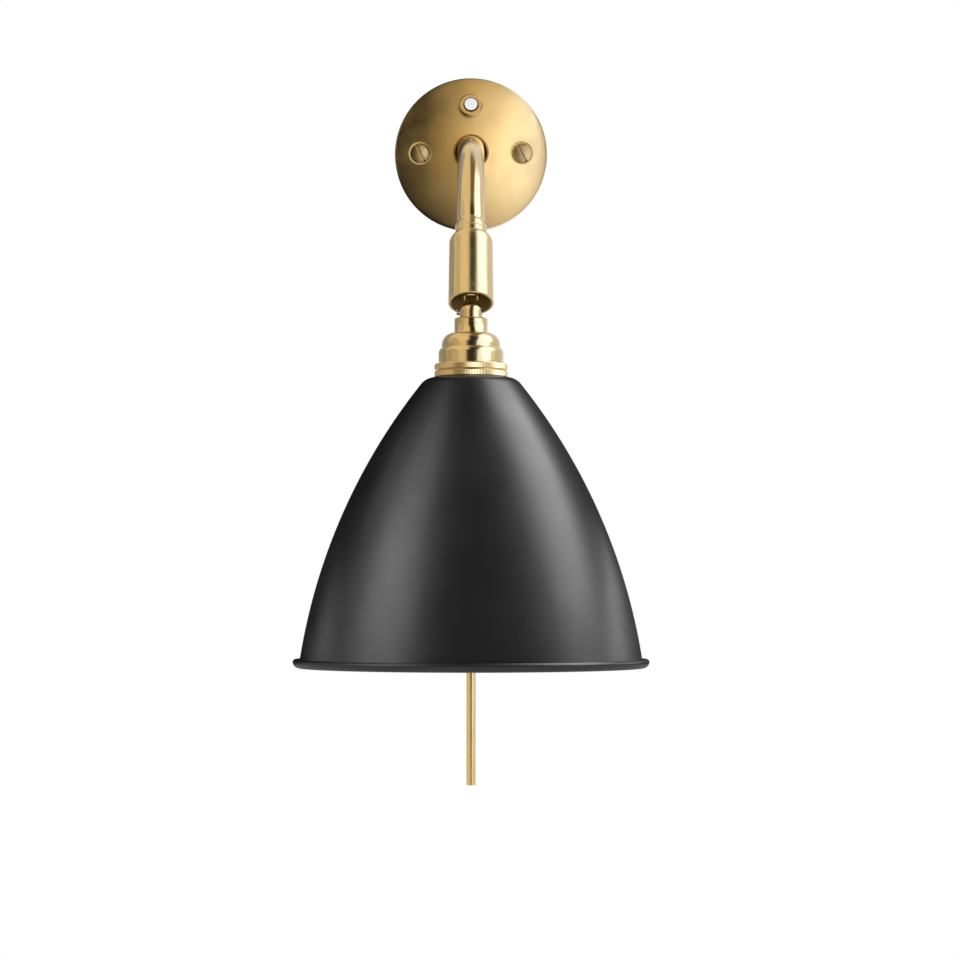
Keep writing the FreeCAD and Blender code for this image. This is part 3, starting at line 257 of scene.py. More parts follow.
def glow_paint(name, strength, colour, clear):
    """A glow; where it is clear, what lies behind the sheet still shows through it."""
    material = bpy.data.materials.new(name)
    material.use_nodes = True
    tree = material.node_tree
    tree.nodes.clear()
    shine = tree.nodes.new("ShaderNodeEmission")
    shine.inputs["Color"].default_value = (*colour, 1)
    shine.inputs["Strength"].default_value = strength
    out = tree.nodes.new("ShaderNodeOutputMaterial")
    if clear:
        both = tree.nodes.new("ShaderNodeAddShader")
        glass = tree.nodes.new("ShaderNodeBsdfTransparent")
        tree.links.new(shine.outputs[0], both.inputs[0])
        tree.links.new(glass.outputs[0], both.inputs[1])
        tree.links.new(both.outputs[0], out.inputs["Surface"])
    else:
        tree.links.new(shine.outputs[0], out.inputs["Surface"])
    return material


def reflected_only(sheet, group):
    """Hide a sheet from all but reflections, and let it shine on one group of pieces."""
    sheet.visible_camera = False
    sheet.visible_diffuse = False
    sheet.visible_transmission = False
    sheet.visible_shadow = False
    sheet.light_linking.receiver_collection = group


print("glow colours:", COOL, PLAIN, WARM, DEEP)

# %% Slice of a globe
SLICE_COLUMNS, SLICE_ROWS = 8, 40


def across_globe(side, rise):
    """A direction by its angle from the upright plane that halves the lamp, and by its angle
    round overhead from straight ahead."""
    return Vector((math.sin(side), -math.cos(side) * math.cos(rise),
                   math.cos(side) * math.sin(rise)))


def globe_sheet(name, sides, rises, strength, colour, group, radius, direction, clear):
    """A slice of a globe round the lamp, between two pairs of angles in degrees."""
    corners = []
    for column in range(SLICE_COLUMNS + 1):
        side = math.radians(sides[0] + (sides[1] - sides[0]) * column / SLICE_COLUMNS)
        for row in range(SLICE_ROWS + 1):
            rise = math.radians(rises[0] + (rises[1] - rises[0]) * row / SLICE_ROWS)
            corners.append(lamp_aim + radius * direction(side, rise))
    count = SLICE_ROWS + 1
    faces = [(column * count + row, column * count + row + 1,
              (column + 1) * count + row + 1, (column + 1) * count + row)
             for column in range(SLICE_COLUMNS) for row in range(SLICE_ROWS)]
    sheet = studio_mesh(name, corners, faces, glow_paint(name, strength, colour, clear))
    reflected_only(sheet, group)


print("each slice has", SLICE_COLUMNS * SLICE_ROWS, "faces")

# %% Groups of pieces for the sheets
TURNED = ("arm_tube", "arm_ferrule", "joint_cup", "upper_knuckle", "lower_knuckle",
          "hinge_screw", "lampholder_cap", "lampholder_barrel", "cable_tube")
PLATE = ("wall_plate", "plate_screws", "switch_bush")
NOT_BRASS = ("shade", "switch_button")


def receivers(name, members):
    """A group of pieces; those that are rebuilt further on join their groups there."""
    group = bpy.data.collections.new(name)
    for member in members:
        group.objects.link(nodes[member])
    print(name, len(members), "solids")
    return group


for_metal = receivers("for_turned_brass", TURNED)
for_plate = receivers("for_plate", PLATE)
for_all_metal = receivers("for_all_but_the_shade",
                          [name for name in nodes if name not in NOT_BRASS])
for_button = receivers("for_button", ("switch_button",))
for_rings = receivers("for_rings", ())
for_shade = receivers("for_shade", ())

# %% Solid sheets
# The first pair of degrees is the angle to the side, with minus to the left. The second runs from
# straight ahead (0) over the top (90) to behind, or down below the lamp with minus. The two beside
# the wall are laid round the lamp instead, by an angle round it and a height over the horizon.
FAR, NEAR_FLOOR, NEAR_WALL = 1.9, 1.35, 1.85
SOLID_SHEETS = (
    ("dark_arch", (-16, 22), (-14, 30), 0.8, DEEP, for_plate, FAR, across_globe),
    ("dark_arch_above", (-7, 25), (30, 70), 0.8, DEEP, for_plate, FAR, across_globe),
    ("arch_behind", (-3, 20), (70, 150), 0.22, DEEP, for_all_metal, FAR, across_globe),
    ("left_veil", (-45, -16), (-14, 30), 1.0, WARM, for_metal, FAR, across_globe),
    ("left_veil_above", (-45, -7), (30, 70), 1.12, WARM, for_metal, FAR, across_globe),
    ("left_veil_behind", (-45, -3), (70, 150), 1.05, WARM, for_metal, FAR, across_globe),
    ("left_glow", (-72, -45), (-14, 110), 0.72, WARM, for_metal, FAR, across_globe),
    ("left_dusk", (-90, -72), (-14, 110), 0.5, WARM, for_metal, FAR, across_globe),
    ("right_veil", (22, 42), (-14, 30), 1.75, COOL, for_all_metal, FAR, across_globe),
    ("right_veil_above", (25, 42), (30, 70), 2.1, COOL, for_all_metal, FAR, across_globe),
    ("right_veil_behind", (20, 42), (70, 150), 2.1, COOL, for_all_metal, FAR, across_globe),
    ("right_glow", (42, 72), (-14, 110), 2.8, COOL, for_metal, FAR, across_globe),
    ("right_dusk", (72, 90), (-14, 110), 1.1, PLAIN, for_metal, FAR, across_globe),
    ("floor_left", (-90, -1), (-170, -14), 1.0, WARM, for_metal, NEAR_FLOOR, across_globe),
    ("floor_right", (-1, 90), (-170, -14), 1.0, PLAIN, for_all_metal, NEAR_FLOOR, across_globe),
    ("wall_left", (-180, -125), (-14, 60), 1.0, WARM, for_metal, NEAR_WALL, round_globe),
    ("wall_right", (125, 180), (-14, 60), 1.0, PLAIN, for_all_metal, NEAR_WALL, round_globe),
)
for name, sides, rises, strength, colour, group, radius, direction in SOLID_SHEETS:
    globe_sheet(name, sides, rises, strength, colour, group, radius, direction, clear=False)
print(len(SOLID_SHEETS), "solid sheets")

# %% Clear sheets
NEAR, NEARER, NEAREST = 1.75, 1.7, 1.3
CLEAR_SHEETS = (
    ("shade_light_right_low", (66, 122), (-12, 14), 0.95, PLAIN, for_shade, NEAR),
    ("shade_light_right", (66, 122), (14, 40), 3.0, PLAIN, for_shade, NEAR),
    ("shade_light_right_high", (72, 122), (40, 72), 3.8, PLAIN, for_shade, NEAR),
    ("shade_light_right_rear", (98, 140), (6, 48), 1.8, PLAIN, for_shade, NEARER),
    ("shade_light_left_low", (-86, -44), (-12, 14), 1.15, PLAIN, for_shade, NEAR),
    ("shade_light_left", (-84, -43), (14, 36), 2.45, PLAIN, for_shade, NEAR),
    ("shade_light_left_high", (-88, -46), (36, 60), 1.5, PLAIN, for_shade, NEAR),
    ("shade_light_below", (-180, 180), (-89, -14), 0.42, PLAIN, for_shade, NEAREST),
    ("plate_light", (4, 44), (-13, 45), 0.9, PLAIN, for_plate, NEAR),
    ("plate_light_low", (0, 26), (-13, 6), 0.8, COOL, for_plate, NEARER),
    ("plate_light_side", (-125, -74), (-14, 40), 0.75, WARM, for_plate, NEAR),
    ("ring_light", (40, 150), (-14, 50), 1.5, COOL, for_rings, NEAR),
    ("button_light", (-80, 80), (-14, 70), 1.0, PLAIN, for_button, NEAR),
)
for name, sides, rises, strength, colour, group, radius in CLEAR_SHEETS:
    globe_sheet(name, sides, rises, strength, colour, group, radius, round_globe, clear=True)
print(len(CLEAR_SHEETS), "clear sheets")

# %% Edge flags
# Grey cards just behind the plane of the wall dim the outer edges of the arm and the cup.
flag_depth = 0.02
flag_inner, flag_outer = 0.045, 1.85
flag_foot, flag_top = -0.136, 0.10


def edge_flag(name, start, end, strength, group):
    """A flat upright card between two places across the wall."""
    corners = [(start, flag_depth, flag_foot), (end, flag_depth, flag_foot),
               (end, flag_depth, flag_top), (start, flag_depth, flag_top)]
    card = studio_mesh(name, corners, [(0, 1, 2, 3)], glow_paint(name, strength, PLAIN, False))
    reflected_only(card, group)


edge_flag("edge_flag_left", -flag_outer, -flag_inner, 0.4, for_metal)
edge_flag("edge_flag_right", flag_inner, flag_outer, 0.85, for_all_metal)
print("flags reach", flag_outer, "m to each side")

# %% [markdown]
# ## Metals and paints
#
# Each finish starts from one Principled shader. What makes it look like metal someone has turned,
# polished and lacquered is what varies: the tone drifts over a few centimetres, the gloss is
# uneven where cloths have rubbed it, and fine turning lines run round each piece. All of it is
# noise on Object coordinates, so it stays on the surface in every view. For turning lines the
# noise is squeezed along the axis of the piece, by a Mapping node that first turns the pattern to
# that axis.

# %% Base paint and its coordinates
EVEN = (1, 1, 1)
MICRON = 1e-6


def paint(name, colour, metallic, roughness, **more):
    """A material with one Principled shader; values that never vary are set on its sockets."""
    material = bpy.data.materials.new(name)
    material.use_nodes = True
    shader = material.node_tree.nodes["Principled BSDF"]
    shader.inputs["Base Color"].default_value = (*colour, 1)
    shader.inputs["Metallic"].default_value = metallic
    shader.inputs["Roughness"].default_value = roughness
    for socket, value in more.items():
        shader.inputs[socket.replace("_", " ")].default_value = value
    return material


def place_coordinates(material, matrix, stretch=EVEN):
    """Object coordinates in the piece's own upright frame, scaled apart along each axis."""
    tree = material.node_tree
    source = tree.nodes.new("ShaderNodeTexCoord")
    turn = tree.nodes.new("ShaderNodeMapping")
    turn.vector_type = "POINT"
    inverse = matrix.inverted()
    turn.inputs["Location"].default_value = inverse.to_translation()
    turn.inputs["Rotation"].default_value = inverse.to_euler()
    tree.links.new(source.outputs["Object"], turn.inputs["Vector"])
    squeeze = tree.nodes.new("ShaderNodeMapping")
    squeeze.inputs["Scale"].default_value = stretch
    tree.links.new(turn.outputs["Vector"], squeeze.inputs["Vector"])
    return squeeze.outputs["Vector"]


print("paint helper ready")

# %% Patterns
PATTERN_LOW, PATTERN_HIGH = 0.3, 0.7


def noise(material, vector, size, detail=2.0):
    """Noise whose blotches are about the given size across, in metres."""
    texture = material.node_tree.nodes.new("ShaderNodeTexNoise")
    texture.inputs["Scale"].default_value = 1 / size
    texture.inputs["Detail"].default_value = detail
    material.node_tree.links.new(vector, texture.inputs["Vector"])
    return texture.outputs["Fac"]


def spread(material, value, low, high):
    """Carry a pattern onto a range."""
    ranged = material.node_tree.nodes.new("ShaderNodeMapRange")
    ranged.inputs["From Min"].default_value = PATTERN_LOW
    ranged.inputs["From Max"].default_value = PATTERN_HIGH
    ranged.inputs["To Min"].default_value = low
    ranged.inputs["To Max"].default_value = high
    material.node_tree.links.new(value, ranged.inputs["Value"])
    return ranged.outputs["Result"]


print("noise mostly lies between", PATTERN_LOW, "and", PATTERN_HIGH)


# %% What a pattern drives
def tint(material, pattern, first, second):
    """Base colour between two tones by a pattern."""
    mix = material.node_tree.nodes.new("ShaderNodeMix")
    mix.data_type = "RGBA"
    mix.inputs["A"].default_value = (*first, 1)
    mix.inputs["B"].default_value = (*second, 1)
    tree = material.node_tree
    tree.links.new(pattern, mix.inputs["Factor"])
    tree.links.new(mix.outputs["Result"], tree.nodes["Principled BSDF"].inputs["Base Color"])


def roughen(material, pattern, low, high):
    """Roughness that wanders over a range with a pattern."""
    tree = material.node_tree
    tree.links.new(spread(material, pattern, low, high),
                   tree.nodes["Principled BSDF"].inputs["Roughness"])


def emboss(material, *patterns):
    """Stack bumps from (pattern, height) pairs onto the shader's normal."""
    tree = material.node_tree
    last = None
    for pattern, height in patterns:
        bump = tree.nodes.new("ShaderNodeBump")
        bump.inputs["Distance"].default_value = height
        tree.links.new(pattern, bump.inputs["Height"])
        if last:
            tree.links.new(last, bump.inputs["Normal"])
        last = bump.outputs["Normal"]
    tree.links.new(last, tree.nodes["Principled BSDF"].inputs["Normal"])


print("colour, roughness and bump can follow a pattern")

# %% Brass
BRASS_LIGHT = (0.68, 0.49, 0.215)
BRASS_DEEP = (0.60, 0.42, 0.175)
AGED_LIGHT = (0.46, 0.34, 0.17)
AGED_DEEP = (0.30, 0.21, 0.10)
LATHE_SQUEEZE = (0.02, 0.02, 1.0)
TONE_DRIFT, CLOTH_RUB, TURNING_LINE, GRAIN = 30 * MM, 12 * MM, 0.6 * MM, 1.5 * MM
LACQUER = 0.8


def brass(name, matrix, roughness, lines=0.3 * MICRON, squeeze=LATHE_SQUEEZE,
          light=BRASS_LIGHT, deep=BRASS_DEEP):
    """Lacquered brass with turning lines round the axis of a matrix."""
    metal = paint(name, light, 1.0, roughness, Coat_Weight=LACQUER, Coat_Roughness=roughness)
    even = place_coordinates(metal, matrix)
    lathe = place_coordinates(metal, matrix, squeeze)
    tint(metal, noise(metal, even, TONE_DRIFT, detail=4), light, deep)
    roughen(metal, noise(metal, even, CLOTH_RUB, detail=5), roughness * 0.85, roughness * 1.25)
    emboss(metal, (noise(metal, lathe, TURNING_LINE), lines),
           (noise(metal, even, GRAIN, detail=3), lines * 0.6))
    print(name, "roughness", roughness)
    return metal


plate_brass = brass("satin_brass_plate", wall_axis, roughness=0.36, lines=0.6 * MICRON)
cup_brass = brass("polished_brass_cup", cup_axis, roughness=0.25)
lamp_brass = brass("polished_brass_lampholder", lamp_axis, roughness=0.19)
ring_brass = brass("knurled_brass_rings", lamp_axis, roughness=0.3)
tube_brass = brass("polished_brass_tube", lamp_axis, roughness=0.19, lines=0.12 * MICRON,
                   squeeze=EVEN)
plain_brass = brass("plain_brass_fittings", wall_axis, roughness=0.3)
screw_brass = brass("aged_brass_screws", wall_axis, roughness=0.33, lines=0.6 * MICRON,
                    squeeze=EVEN, light=AGED_LIGHT, deep=AGED_DEEP)

# %% [markdown]
# ## Unpolished bore of the cup, with painted shade
#
# Nobody polishes the inside of the cup, so there the brass is dull: rougher and less metallic. Its
# colour is also made a darker brown there, which is painted shade in the recess. The cup is one
# solid, and a second material would need its faces sorted by hand. A mask in the shader is
# simpler:
# the bore is where a point lies both nearer the axis than the middle of the wall and under the
# cup's roof. Both distances come from Object coordinates in the cup's own frame.

# %% Mask of the bore
bore_radius = 9.9
bore_roof = 36.3
# The darker brown base colour is painted shade in the bore; the roughness and lower metallic are
# its dull finish.
BORE_FINISH_AND_PAINTED_SHADE = {"Base Color": (0.46, 0.31, 0.13), "Roughness": 0.55, "Metallic": 0.35}


def under(material, value, limit):
    """1 where a value is under a limit."""
    test = material.node_tree.nodes.new("ShaderNodeMath")
    test.operation = "LESS_THAN"
    test.inputs[1].default_value = limit
    material.node_tree.links.new(value, test.inputs[0])
    return test.outputs[0]


def inside_bore(material, matrix, radius, roof):
    """1 inside a cylinder about the Z axis of a matrix, under a roof."""
    tree = material.node_tree
    apart = tree.nodes.new("ShaderNodeSeparateXYZ")
    tree.links.new(place_coordinates(material, matrix), apart.inputs[0])
    across = tree.nodes.new("ShaderNodeCombineXYZ")
    tree.links.new(apart.outputs["X"], across.inputs["X"])
    tree.links.new(apart.outputs["Y"], across.inputs["Y"])
    length = tree.nodes.new("ShaderNodeVectorMath")
    length.operation = "LENGTH"
    tree.links.new(across.outputs[0], length.inputs[0])
    inside = tree.nodes.new("ShaderNodeMath")
    inside.operation = "MULTIPLY"
    tree.links.new(under(material, length.outputs["Value"], radius * MM), inside.inputs[0])
    tree.links.new(under(material, apart.outputs["Z"], roof * MM), inside.inputs[1])
    return inside.outputs[0]


print("bore inside", bore_radius, "mm, up to", bore_roof, "mm over the pivot")


# %% Cup with a dull bore darkened by painted shade
def dull_and_shade_where(material, mask, finish):
    """Blend shader values towards a dull finish and a painted-shade colour where a mask is 1."""
    tree = material.node_tree
    shader = tree.nodes["Principled BSDF"]
    for socket, dull in finish.items():
        mix = tree.nodes.new("ShaderNodeMix")
        mix.data_type = "RGBA" if socket == "Base Color" else "FLOAT"
        ends = [plug for plug in mix.inputs if plug.enabled and plug.name in ("A", "B")]
        result = [plug for plug in mix.outputs if plug.enabled][0]
        tree.links.new(mask, mix.inputs["Factor"])
        if shader.inputs[socket].is_linked:
            tree.links.new(shader.inputs[socket].links[0].from_socket, ends[0])
        else:
            ends[0].default_value = shader.inputs[socket].default_value
        ends[1].default_value = (*dull, 1) if socket == "Base Color" else dull
        tree.links.new(result, shader.inputs[socket])


cup_shell_brass = brass("polished_brass_cup_with_dull_shaded_bore", cup_axis, roughness=0.25)
dull_and_shade_where(cup_shell_brass, inside_bore(cup_shell_brass, cup_axis, bore_radius, bore_roof),
           BORE_FINISH_AND_PAINTED_SHADE)

# %% [markdown]
# ## Paints, plain metals, ceramic, plastic and glass
#
# The shade is sprayed and baked, so its black is smooth with a faint ripple from the spinning
# under it. The parts behind the plate and in the lampholder show only from the back and from
# below, and still each has its own material: zinc-plated steel for the backing plate and its
# small screws, glazed ceramic, black and cream mouldings, and opal glass. A finish without a
# direction needs less than brass does: one noise for its bump or its gloss is enough.

# %% Paints of the shade
SPINNING_SQUEEZE = (0.05, 0.05, 1.0)
black_paint = paint("black_gloss_paint", (0.011, 0.011, 0.012), metallic=0.0, roughness=0.38,
                    Specular_IOR_Level=1.0)
even = place_coordinates(black_paint, lamp_axis)
spun = place_coordinates(black_paint, lamp_axis, SPINNING_SQUEEZE)
roughen(black_paint, noise(black_paint, even, 20 * MM, detail=5), 0.35, 0.41)
emboss(black_paint, (noise(black_paint, even, 1.2 * MM), 1.2 * MICRON),
       (noise(black_paint, spun, 4 * MM), 4 * MICRON))

white_paint = paint("white_enamel", (0.82, 0.81, 0.78), metallic=0.0, roughness=0.42)
even = place_coordinates(white_paint, lamp_axis)
tint(white_paint, noise(white_paint, even, 40 * MM, detail=3),
     (0.83, 0.82, 0.79), (0.78, 0.77, 0.73))
emboss(white_paint, (noise(white_paint, even, 1 * MM), 2 * MICRON))
print("shade:", black_paint.name, "outside,", white_paint.name, "inside")

# %% Silver, steel, zinc and tin
silver = paint("silver_button", (0.86, 0.85, 0.87), metallic=1.0, roughness=0.22)
even = place_coordinates(silver, wall_axis)
roughen(silver, noise(silver, even, 2 * MM, detail=4), 0.24, 0.3)

steel = paint("turned_steel", (0.62, 0.62, 0.61), metallic=1.0, roughness=0.28)
even = place_coordinates(steel, wall_axis)
emboss(steel, (noise(steel, even, 0.4 * MM, detail=3), 1 * MICRON))

zinc = paint("zinc_plated_steel", (0.58, 0.60, 0.62), metallic=1.0, roughness=0.38)
even = place_coordinates(zinc, wall_axis)
tint(zinc, noise(zinc, even, 6 * MM, detail=5), (0.55, 0.57, 0.60), (0.66, 0.66, 0.64))
roughen(zinc, noise(zinc, even, 3 * MM, detail=4), 0.3, 0.5)

tin = paint("bulb_cap_metal", (0.74, 0.74, 0.75), metallic=1.0, roughness=0.3)
even = place_coordinates(tin, lamp_axis)
roughen(tin, noise(tin, even, 2 * MM, detail=3), 0.22, 0.4)
print("plain metals:", silver.name, steel.name, zinc.name, tin.name)


# %% Ceramic, mouldings and glass
def moulded(name, colour, roughness, matrix, size, detail, height, **more):
    """A smooth paint whose surface waves a little, as glaze, plastic and glass do."""
    material = paint(name, colour, 0.0, roughness, **more)
    even = place_coordinates(material, matrix)
    emboss(material, (noise(material, even, size, detail), height))
    print(name, "waves", round(size / MM, 1), "mm across")
    return material


ceramic = moulded("glazed_ceramic", (0.84, 0.83, 0.79), 0.2, lamp_axis,
                  size=2 * MM, detail=3, height=8 * MICRON)
phenolic = moulded("black_moulding", (0.02, 0.018, 0.016), 0.4, wall_axis,
                   size=0.6 * MM, detail=3, height=4 * MICRON)
cream = moulded("cream_moulding", (0.74, 0.70, 0.61), 0.45, wall_axis,
                size=0.8 * MM, detail=3, height=5 * MICRON)
opal = moulded("opal_glass", (0.90, 0.90, 0.88), 0.18, lamp_axis,
               size=10 * MM, detail=2, height=6 * MICRON, Coat_Weight=0.6)

# %% [markdown]
# ## Finish of each solid
#
# A solid arrives as loose triangles. A small Geometry Nodes tree welds them and shades them
# smooth, with sharp edges only where two faces meet at a steep angle. It stays a live modifier on
# the solid, so its own mesh is never touched. A thin Bevel before it would break the facets of
# small arcs, so edges that catch the light are rounded in the pieces that are rebuilt instead.

# %% Helpers for Geometry Nodes
def node_tree(name, inputs):
    """A Geometry Nodes tree with a Geometry input and named sizes."""
    tree = bpy.data.node_groups.new(name, "GeometryNodeTree")
    tree.interface.new_socket("Geometry", in_out="INPUT", socket_type="NodeSocketGeometry")
    for label, kind, value in inputs:
        socket = tree.interface.new_socket(label, in_out="INPUT", socket_type=kind)
        if value is not None:
            socket.default_value = value
    tree.interface.new_socket("Geometry", in_out="OUTPUT", socket_type="NodeSocketGeometry")
    start = tree.nodes.new("NodeGroupInput")
    end = tree.nodes.new("NodeGroupOutput")
    print("tree", name, "with", [label for label, kind, value in inputs])
    return tree, start, end


def add(tree, kind, **settings):
    """A node with some of its settings."""
    made = tree.nodes.new(kind)
    for label, value in settings.items():
        setattr(made, label, value)
    return made


def join(tree, *links):
    """Draw links, each from an output to an input."""
    for source, target in links:
        tree.links.new(source, target)


# %% Smooth shading by nodes
smooth_tree, start, end = node_tree("weld_and_smooth", [("Angle", "NodeSocketFloat", 0.6)])
weld = add(smooth_tree, "GeometryNodeMergeByDistance")
weld.inputs["Distance"].default_value = 1 * MICRON
fold = add(smooth_tree, "GeometryNodeInputMeshEdgeAngle")
steep = add(smooth_tree, "FunctionNodeCompare", operation="LESS_EQUAL")
edges = add(smooth_tree, "GeometryNodeSetShadeSmooth", domain="EDGE")
faces = add(smooth_tree, "GeometryNodeSetShadeSmooth", domain="FACE")
join(smooth_tree,
     (start.outputs["Geometry"], weld.inputs["Geometry"]),
     (weld.outputs["Geometry"], edges.inputs["Geometry"]),
     (fold.outputs["Unsigned Angle"], steep.inputs["A"]),
     (start.outputs["Angle"], steep.inputs["B"]),
     (steep.outputs["Result"], edges.inputs["Shade Smooth"]),
     (edges.outputs["Geometry"], faces.inputs["Geometry"]),
     (faces.outputs["Geometry"], end.inputs["Geometry"]))

# %% A finish for every solid
FINISHES = {
    "wall_plate": plate_brass, "plate_screws": screw_brass, "switch_bush": plate_brass,
    "switch_button": silver, "arm_tube": tube_brass, "arm_ferrule": cup_brass,
    "joint_cup": cup_shell_brass, "upper_knuckle": cup_brass, "lower_knuckle": lamp_brass,
    "hinge_screw": steel, "lampholder_cap": lamp_brass, "lampholder_barrel": lamp_brass,
    "upper_shade_ring": lamp_brass, "lower_shade_ring": lamp_brass,
    "inner_shade_ring": lamp_brass, "cable_tube": tube_brass, "shade": black_paint,
    "backing_plate": zinc, "arm_lock_washer": zinc, "saddle_screws": zinc,
    "terminal_screws": zinc, "block_screw": zinc, "hinge_washer": zinc,
    "lampholder_insert": ceramic, "switch_body": phenolic, "terminal_block": cream,
    "swivel_washer": cream, "bulb_cap": tin, "bulb_contact": tin, "bulb_glass": opal,
}
for name, solid in nodes.items():
    solid.data.materials.clear()
    solid.data.materials.append(FINISHES.get(name, plain_brass))
    solid.modifiers.new("weld_and_smooth", "NODES").node_group = smooth_tree
print(len(FINISHES), "solids with a finish of their own, the others in plain brass")

# %% [markdown]
# ## Shade
#
# The bell is spun from one disc of aluminium on a lathe: a flat top with a hole, a tight shoulder,
# one long curve, and an edge that is rolled out to stiffen it. It is black gloss outside and white
# inside, so it is drawn anew as a fine turned shell with a paint on each side. Its profile follows
# the solid's own sizes. The rolled edge has a flat top, a crisp corner and a round belly.

# %% Turned shells from a profile
crisp_edge = math.radians(32)


def turned_piece(name, profile, matrix, paints, paint_of, segments=288):
    """Spin a closed loop of (radius, height) points, in mm, round the Z axis of a matrix."""
    count = len(profile)
    corners, faces, slots = [], [], []
    for step in range(segments):
        turn = 2 * math.pi * step / segments
        for radius, height in profile:
            corners.append(matrix @ Vector((radius * MM * math.cos(turn),
                                            radius * MM * math.sin(turn), height * MM)))
    for step in range(segments):
        here, there = step * count, (step + 1) % segments * count
        for point in range(count):
            after = (point + 1) % count
            faces.append((here + point, there + point, there + after, here + after))
            slots.append(paint_of(point))
    mesh = bpy.data.meshes.new(name)
    mesh.from_pydata(corners, [], faces)
    for material in paints:
        mesh.materials.append(material)
    mesh.polygons.foreach_set("material_index", slots)
    shape = bmesh.new()
    shape.from_mesh(mesh)
    bmesh.ops.recalc_face_normals(shape, faces=shape.faces)
    shape.to_mesh(mesh)
    shape.free()
    mesh.shade_smooth()
    mesh.set_sharp_from_angle(angle=crisp_edge)
    piece = bpy.data.objects.new(name, mesh)
    bpy.context.scene.collection.objects.link(piece)
    print(name, len(faces), "faces")
    return piece


def arc_points(centre, radius, start, end, steps):
    """Points on a circle; angles in degrees from straight up, towards the outside."""
    points = []
    for step in range(steps + 1):
        angle = math.radians(start + (end - start) * step / steps)
        points.append((centre[0] + radius * math.sin(angle),
                       centre[1] + radius * math.cos(angle)))
    return points


# %% Profile of the bell
shade_top = -30.6
shade_wall = 0.9
shade_hole = 14.3
flat_radius = 17.2
shoulder_radius = 7.7
shoulder_angle = 51.5
shoulder_steps = 14
bell_radius = 273.8
bell_angle = 81.0
bell_steps = 44

shoulder_centre = (flat_radius, shade_top - shoulder_radius)
outside = arc_points(shoulder_centre, shoulder_radius, 0, shoulder_angle, shoulder_steps)
lean = math.radians(shoulder_angle)
bell_centre = (outside[-1][0] - bell_radius * math.sin(lean),
               outside[-1][1] - bell_radius * math.cos(lean))
outside += arc_points(bell_centre, bell_radius, shoulder_angle, bell_angle, bell_steps)[1:]
inside = arc_points(bell_centre, bell_radius - shade_wall, bell_angle, shoulder_angle,
                    bell_steps)
inside += arc_points(shoulder_centre, shoulder_radius - shade_wall, shoulder_angle, 0,
                     shoulder_steps)[1:]
print("bell profile:", len(outside), "points outside,", len(inside), "inside")

# %% Rolled edge of the bell
rim_overhang = 3.3
rim_height = 4.1
rim_corner = 0.8
rim_corner_cut = 0.12
rim_corner_drop = 0.15
rim_belly = 3.0
belly_start, belly_end, belly_steps = 92, 172, 10
rim_crease = 0.25
rim_lip = 0.3

rim_in, rim_top = outside[-1]
rim_out = rim_in + rim_overhang
rim_foot = rim_top - rim_height
belly_centre = (rim_out - rim_belly, rim_foot + rim_belly)
edge = [(rim_in + rim_crease, rim_top), (rim_out - rim_corner, rim_top),
        (rim_out - rim_corner_cut, rim_top - rim_corner + rim_corner_cut),
        (rim_out, rim_top - rim_corner - rim_corner_drop)]
edge += arc_points(belly_centre, rim_belly, belly_start, belly_end, belly_steps)
lip = [(rim_in - shade_wall + rim_lip, rim_foot), (rim_in - shade_wall, rim_foot + rim_lip)]
edge += lip
print("bell", round(2 * rim_out, 1), "mm wide,", round(shade_top - rim_foot, 1), "mm deep")

# %% Bell shade
profile = [(shade_hole, shade_top), *outside, *edge, *inside,
           (shade_hole, shade_top - shade_wall)]
first_white = 1 + len(outside) + len(edge) - len(lip)
last_white = len(profile) - 1
shell = turned_piece("bell_shade", profile, lamp_axis, (black_paint, white_paint),
                     lambda point: int(first_white <= point < last_white))
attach(shell, "lamp_head")
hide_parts("shade")
for_shade.objects.link(shell)
print("white from point", first_white, "to", last_white)

# %% [markdown]
# ## Knurled rings
#
# Two brass rings clamp the shade, and fine straight knurling lets fingers turn them. A knurl is
# one small ridge repeated round the rim, so a Geometry Nodes tree does it: it makes a four-sided
# bar, stands one on each point of a circle with a corner outwards, and realizes them. The bars
# are flattened towards the axis, because steep ridges look dark from the front and real ones are
# shallow. The ring under the ridges is a turned piece with bevelled edges.

# %% Keep a tree's result as a plain mesh
def plain_mesh(name, tree, values, matrix):
    """Run a tree once on an empty mesh, keep its result as a plain mesh and place it."""
    seed = bpy.data.objects.new(name + "_seed", bpy.data.meshes.new(name + "_seed"))
    bpy.context.scene.collection.objects.link(seed)
    modifier = seed.modifiers.new("tree", "NODES")
    modifier.node_group = tree
    for item in tree.interface.items_tree:
        if item.item_type == "SOCKET" and item.in_out == "INPUT" and item.name in values:
            modifier[item.identifier] = values[item.name]
    graph = bpy.context.evaluated_depsgraph_get()
    mesh = bpy.data.meshes.new_from_object(seed.evaluated_get(graph), depsgraph=graph)
    seed.modifiers.clear()
    bpy.data.objects.remove(seed)
    mesh.name = name
    mesh.transform(matrix)
    piece = bpy.data.objects.new(name, mesh)
    bpy.context.scene.collection.objects.link(piece)
    print(name, len(mesh.polygons), "faces")
    return piece


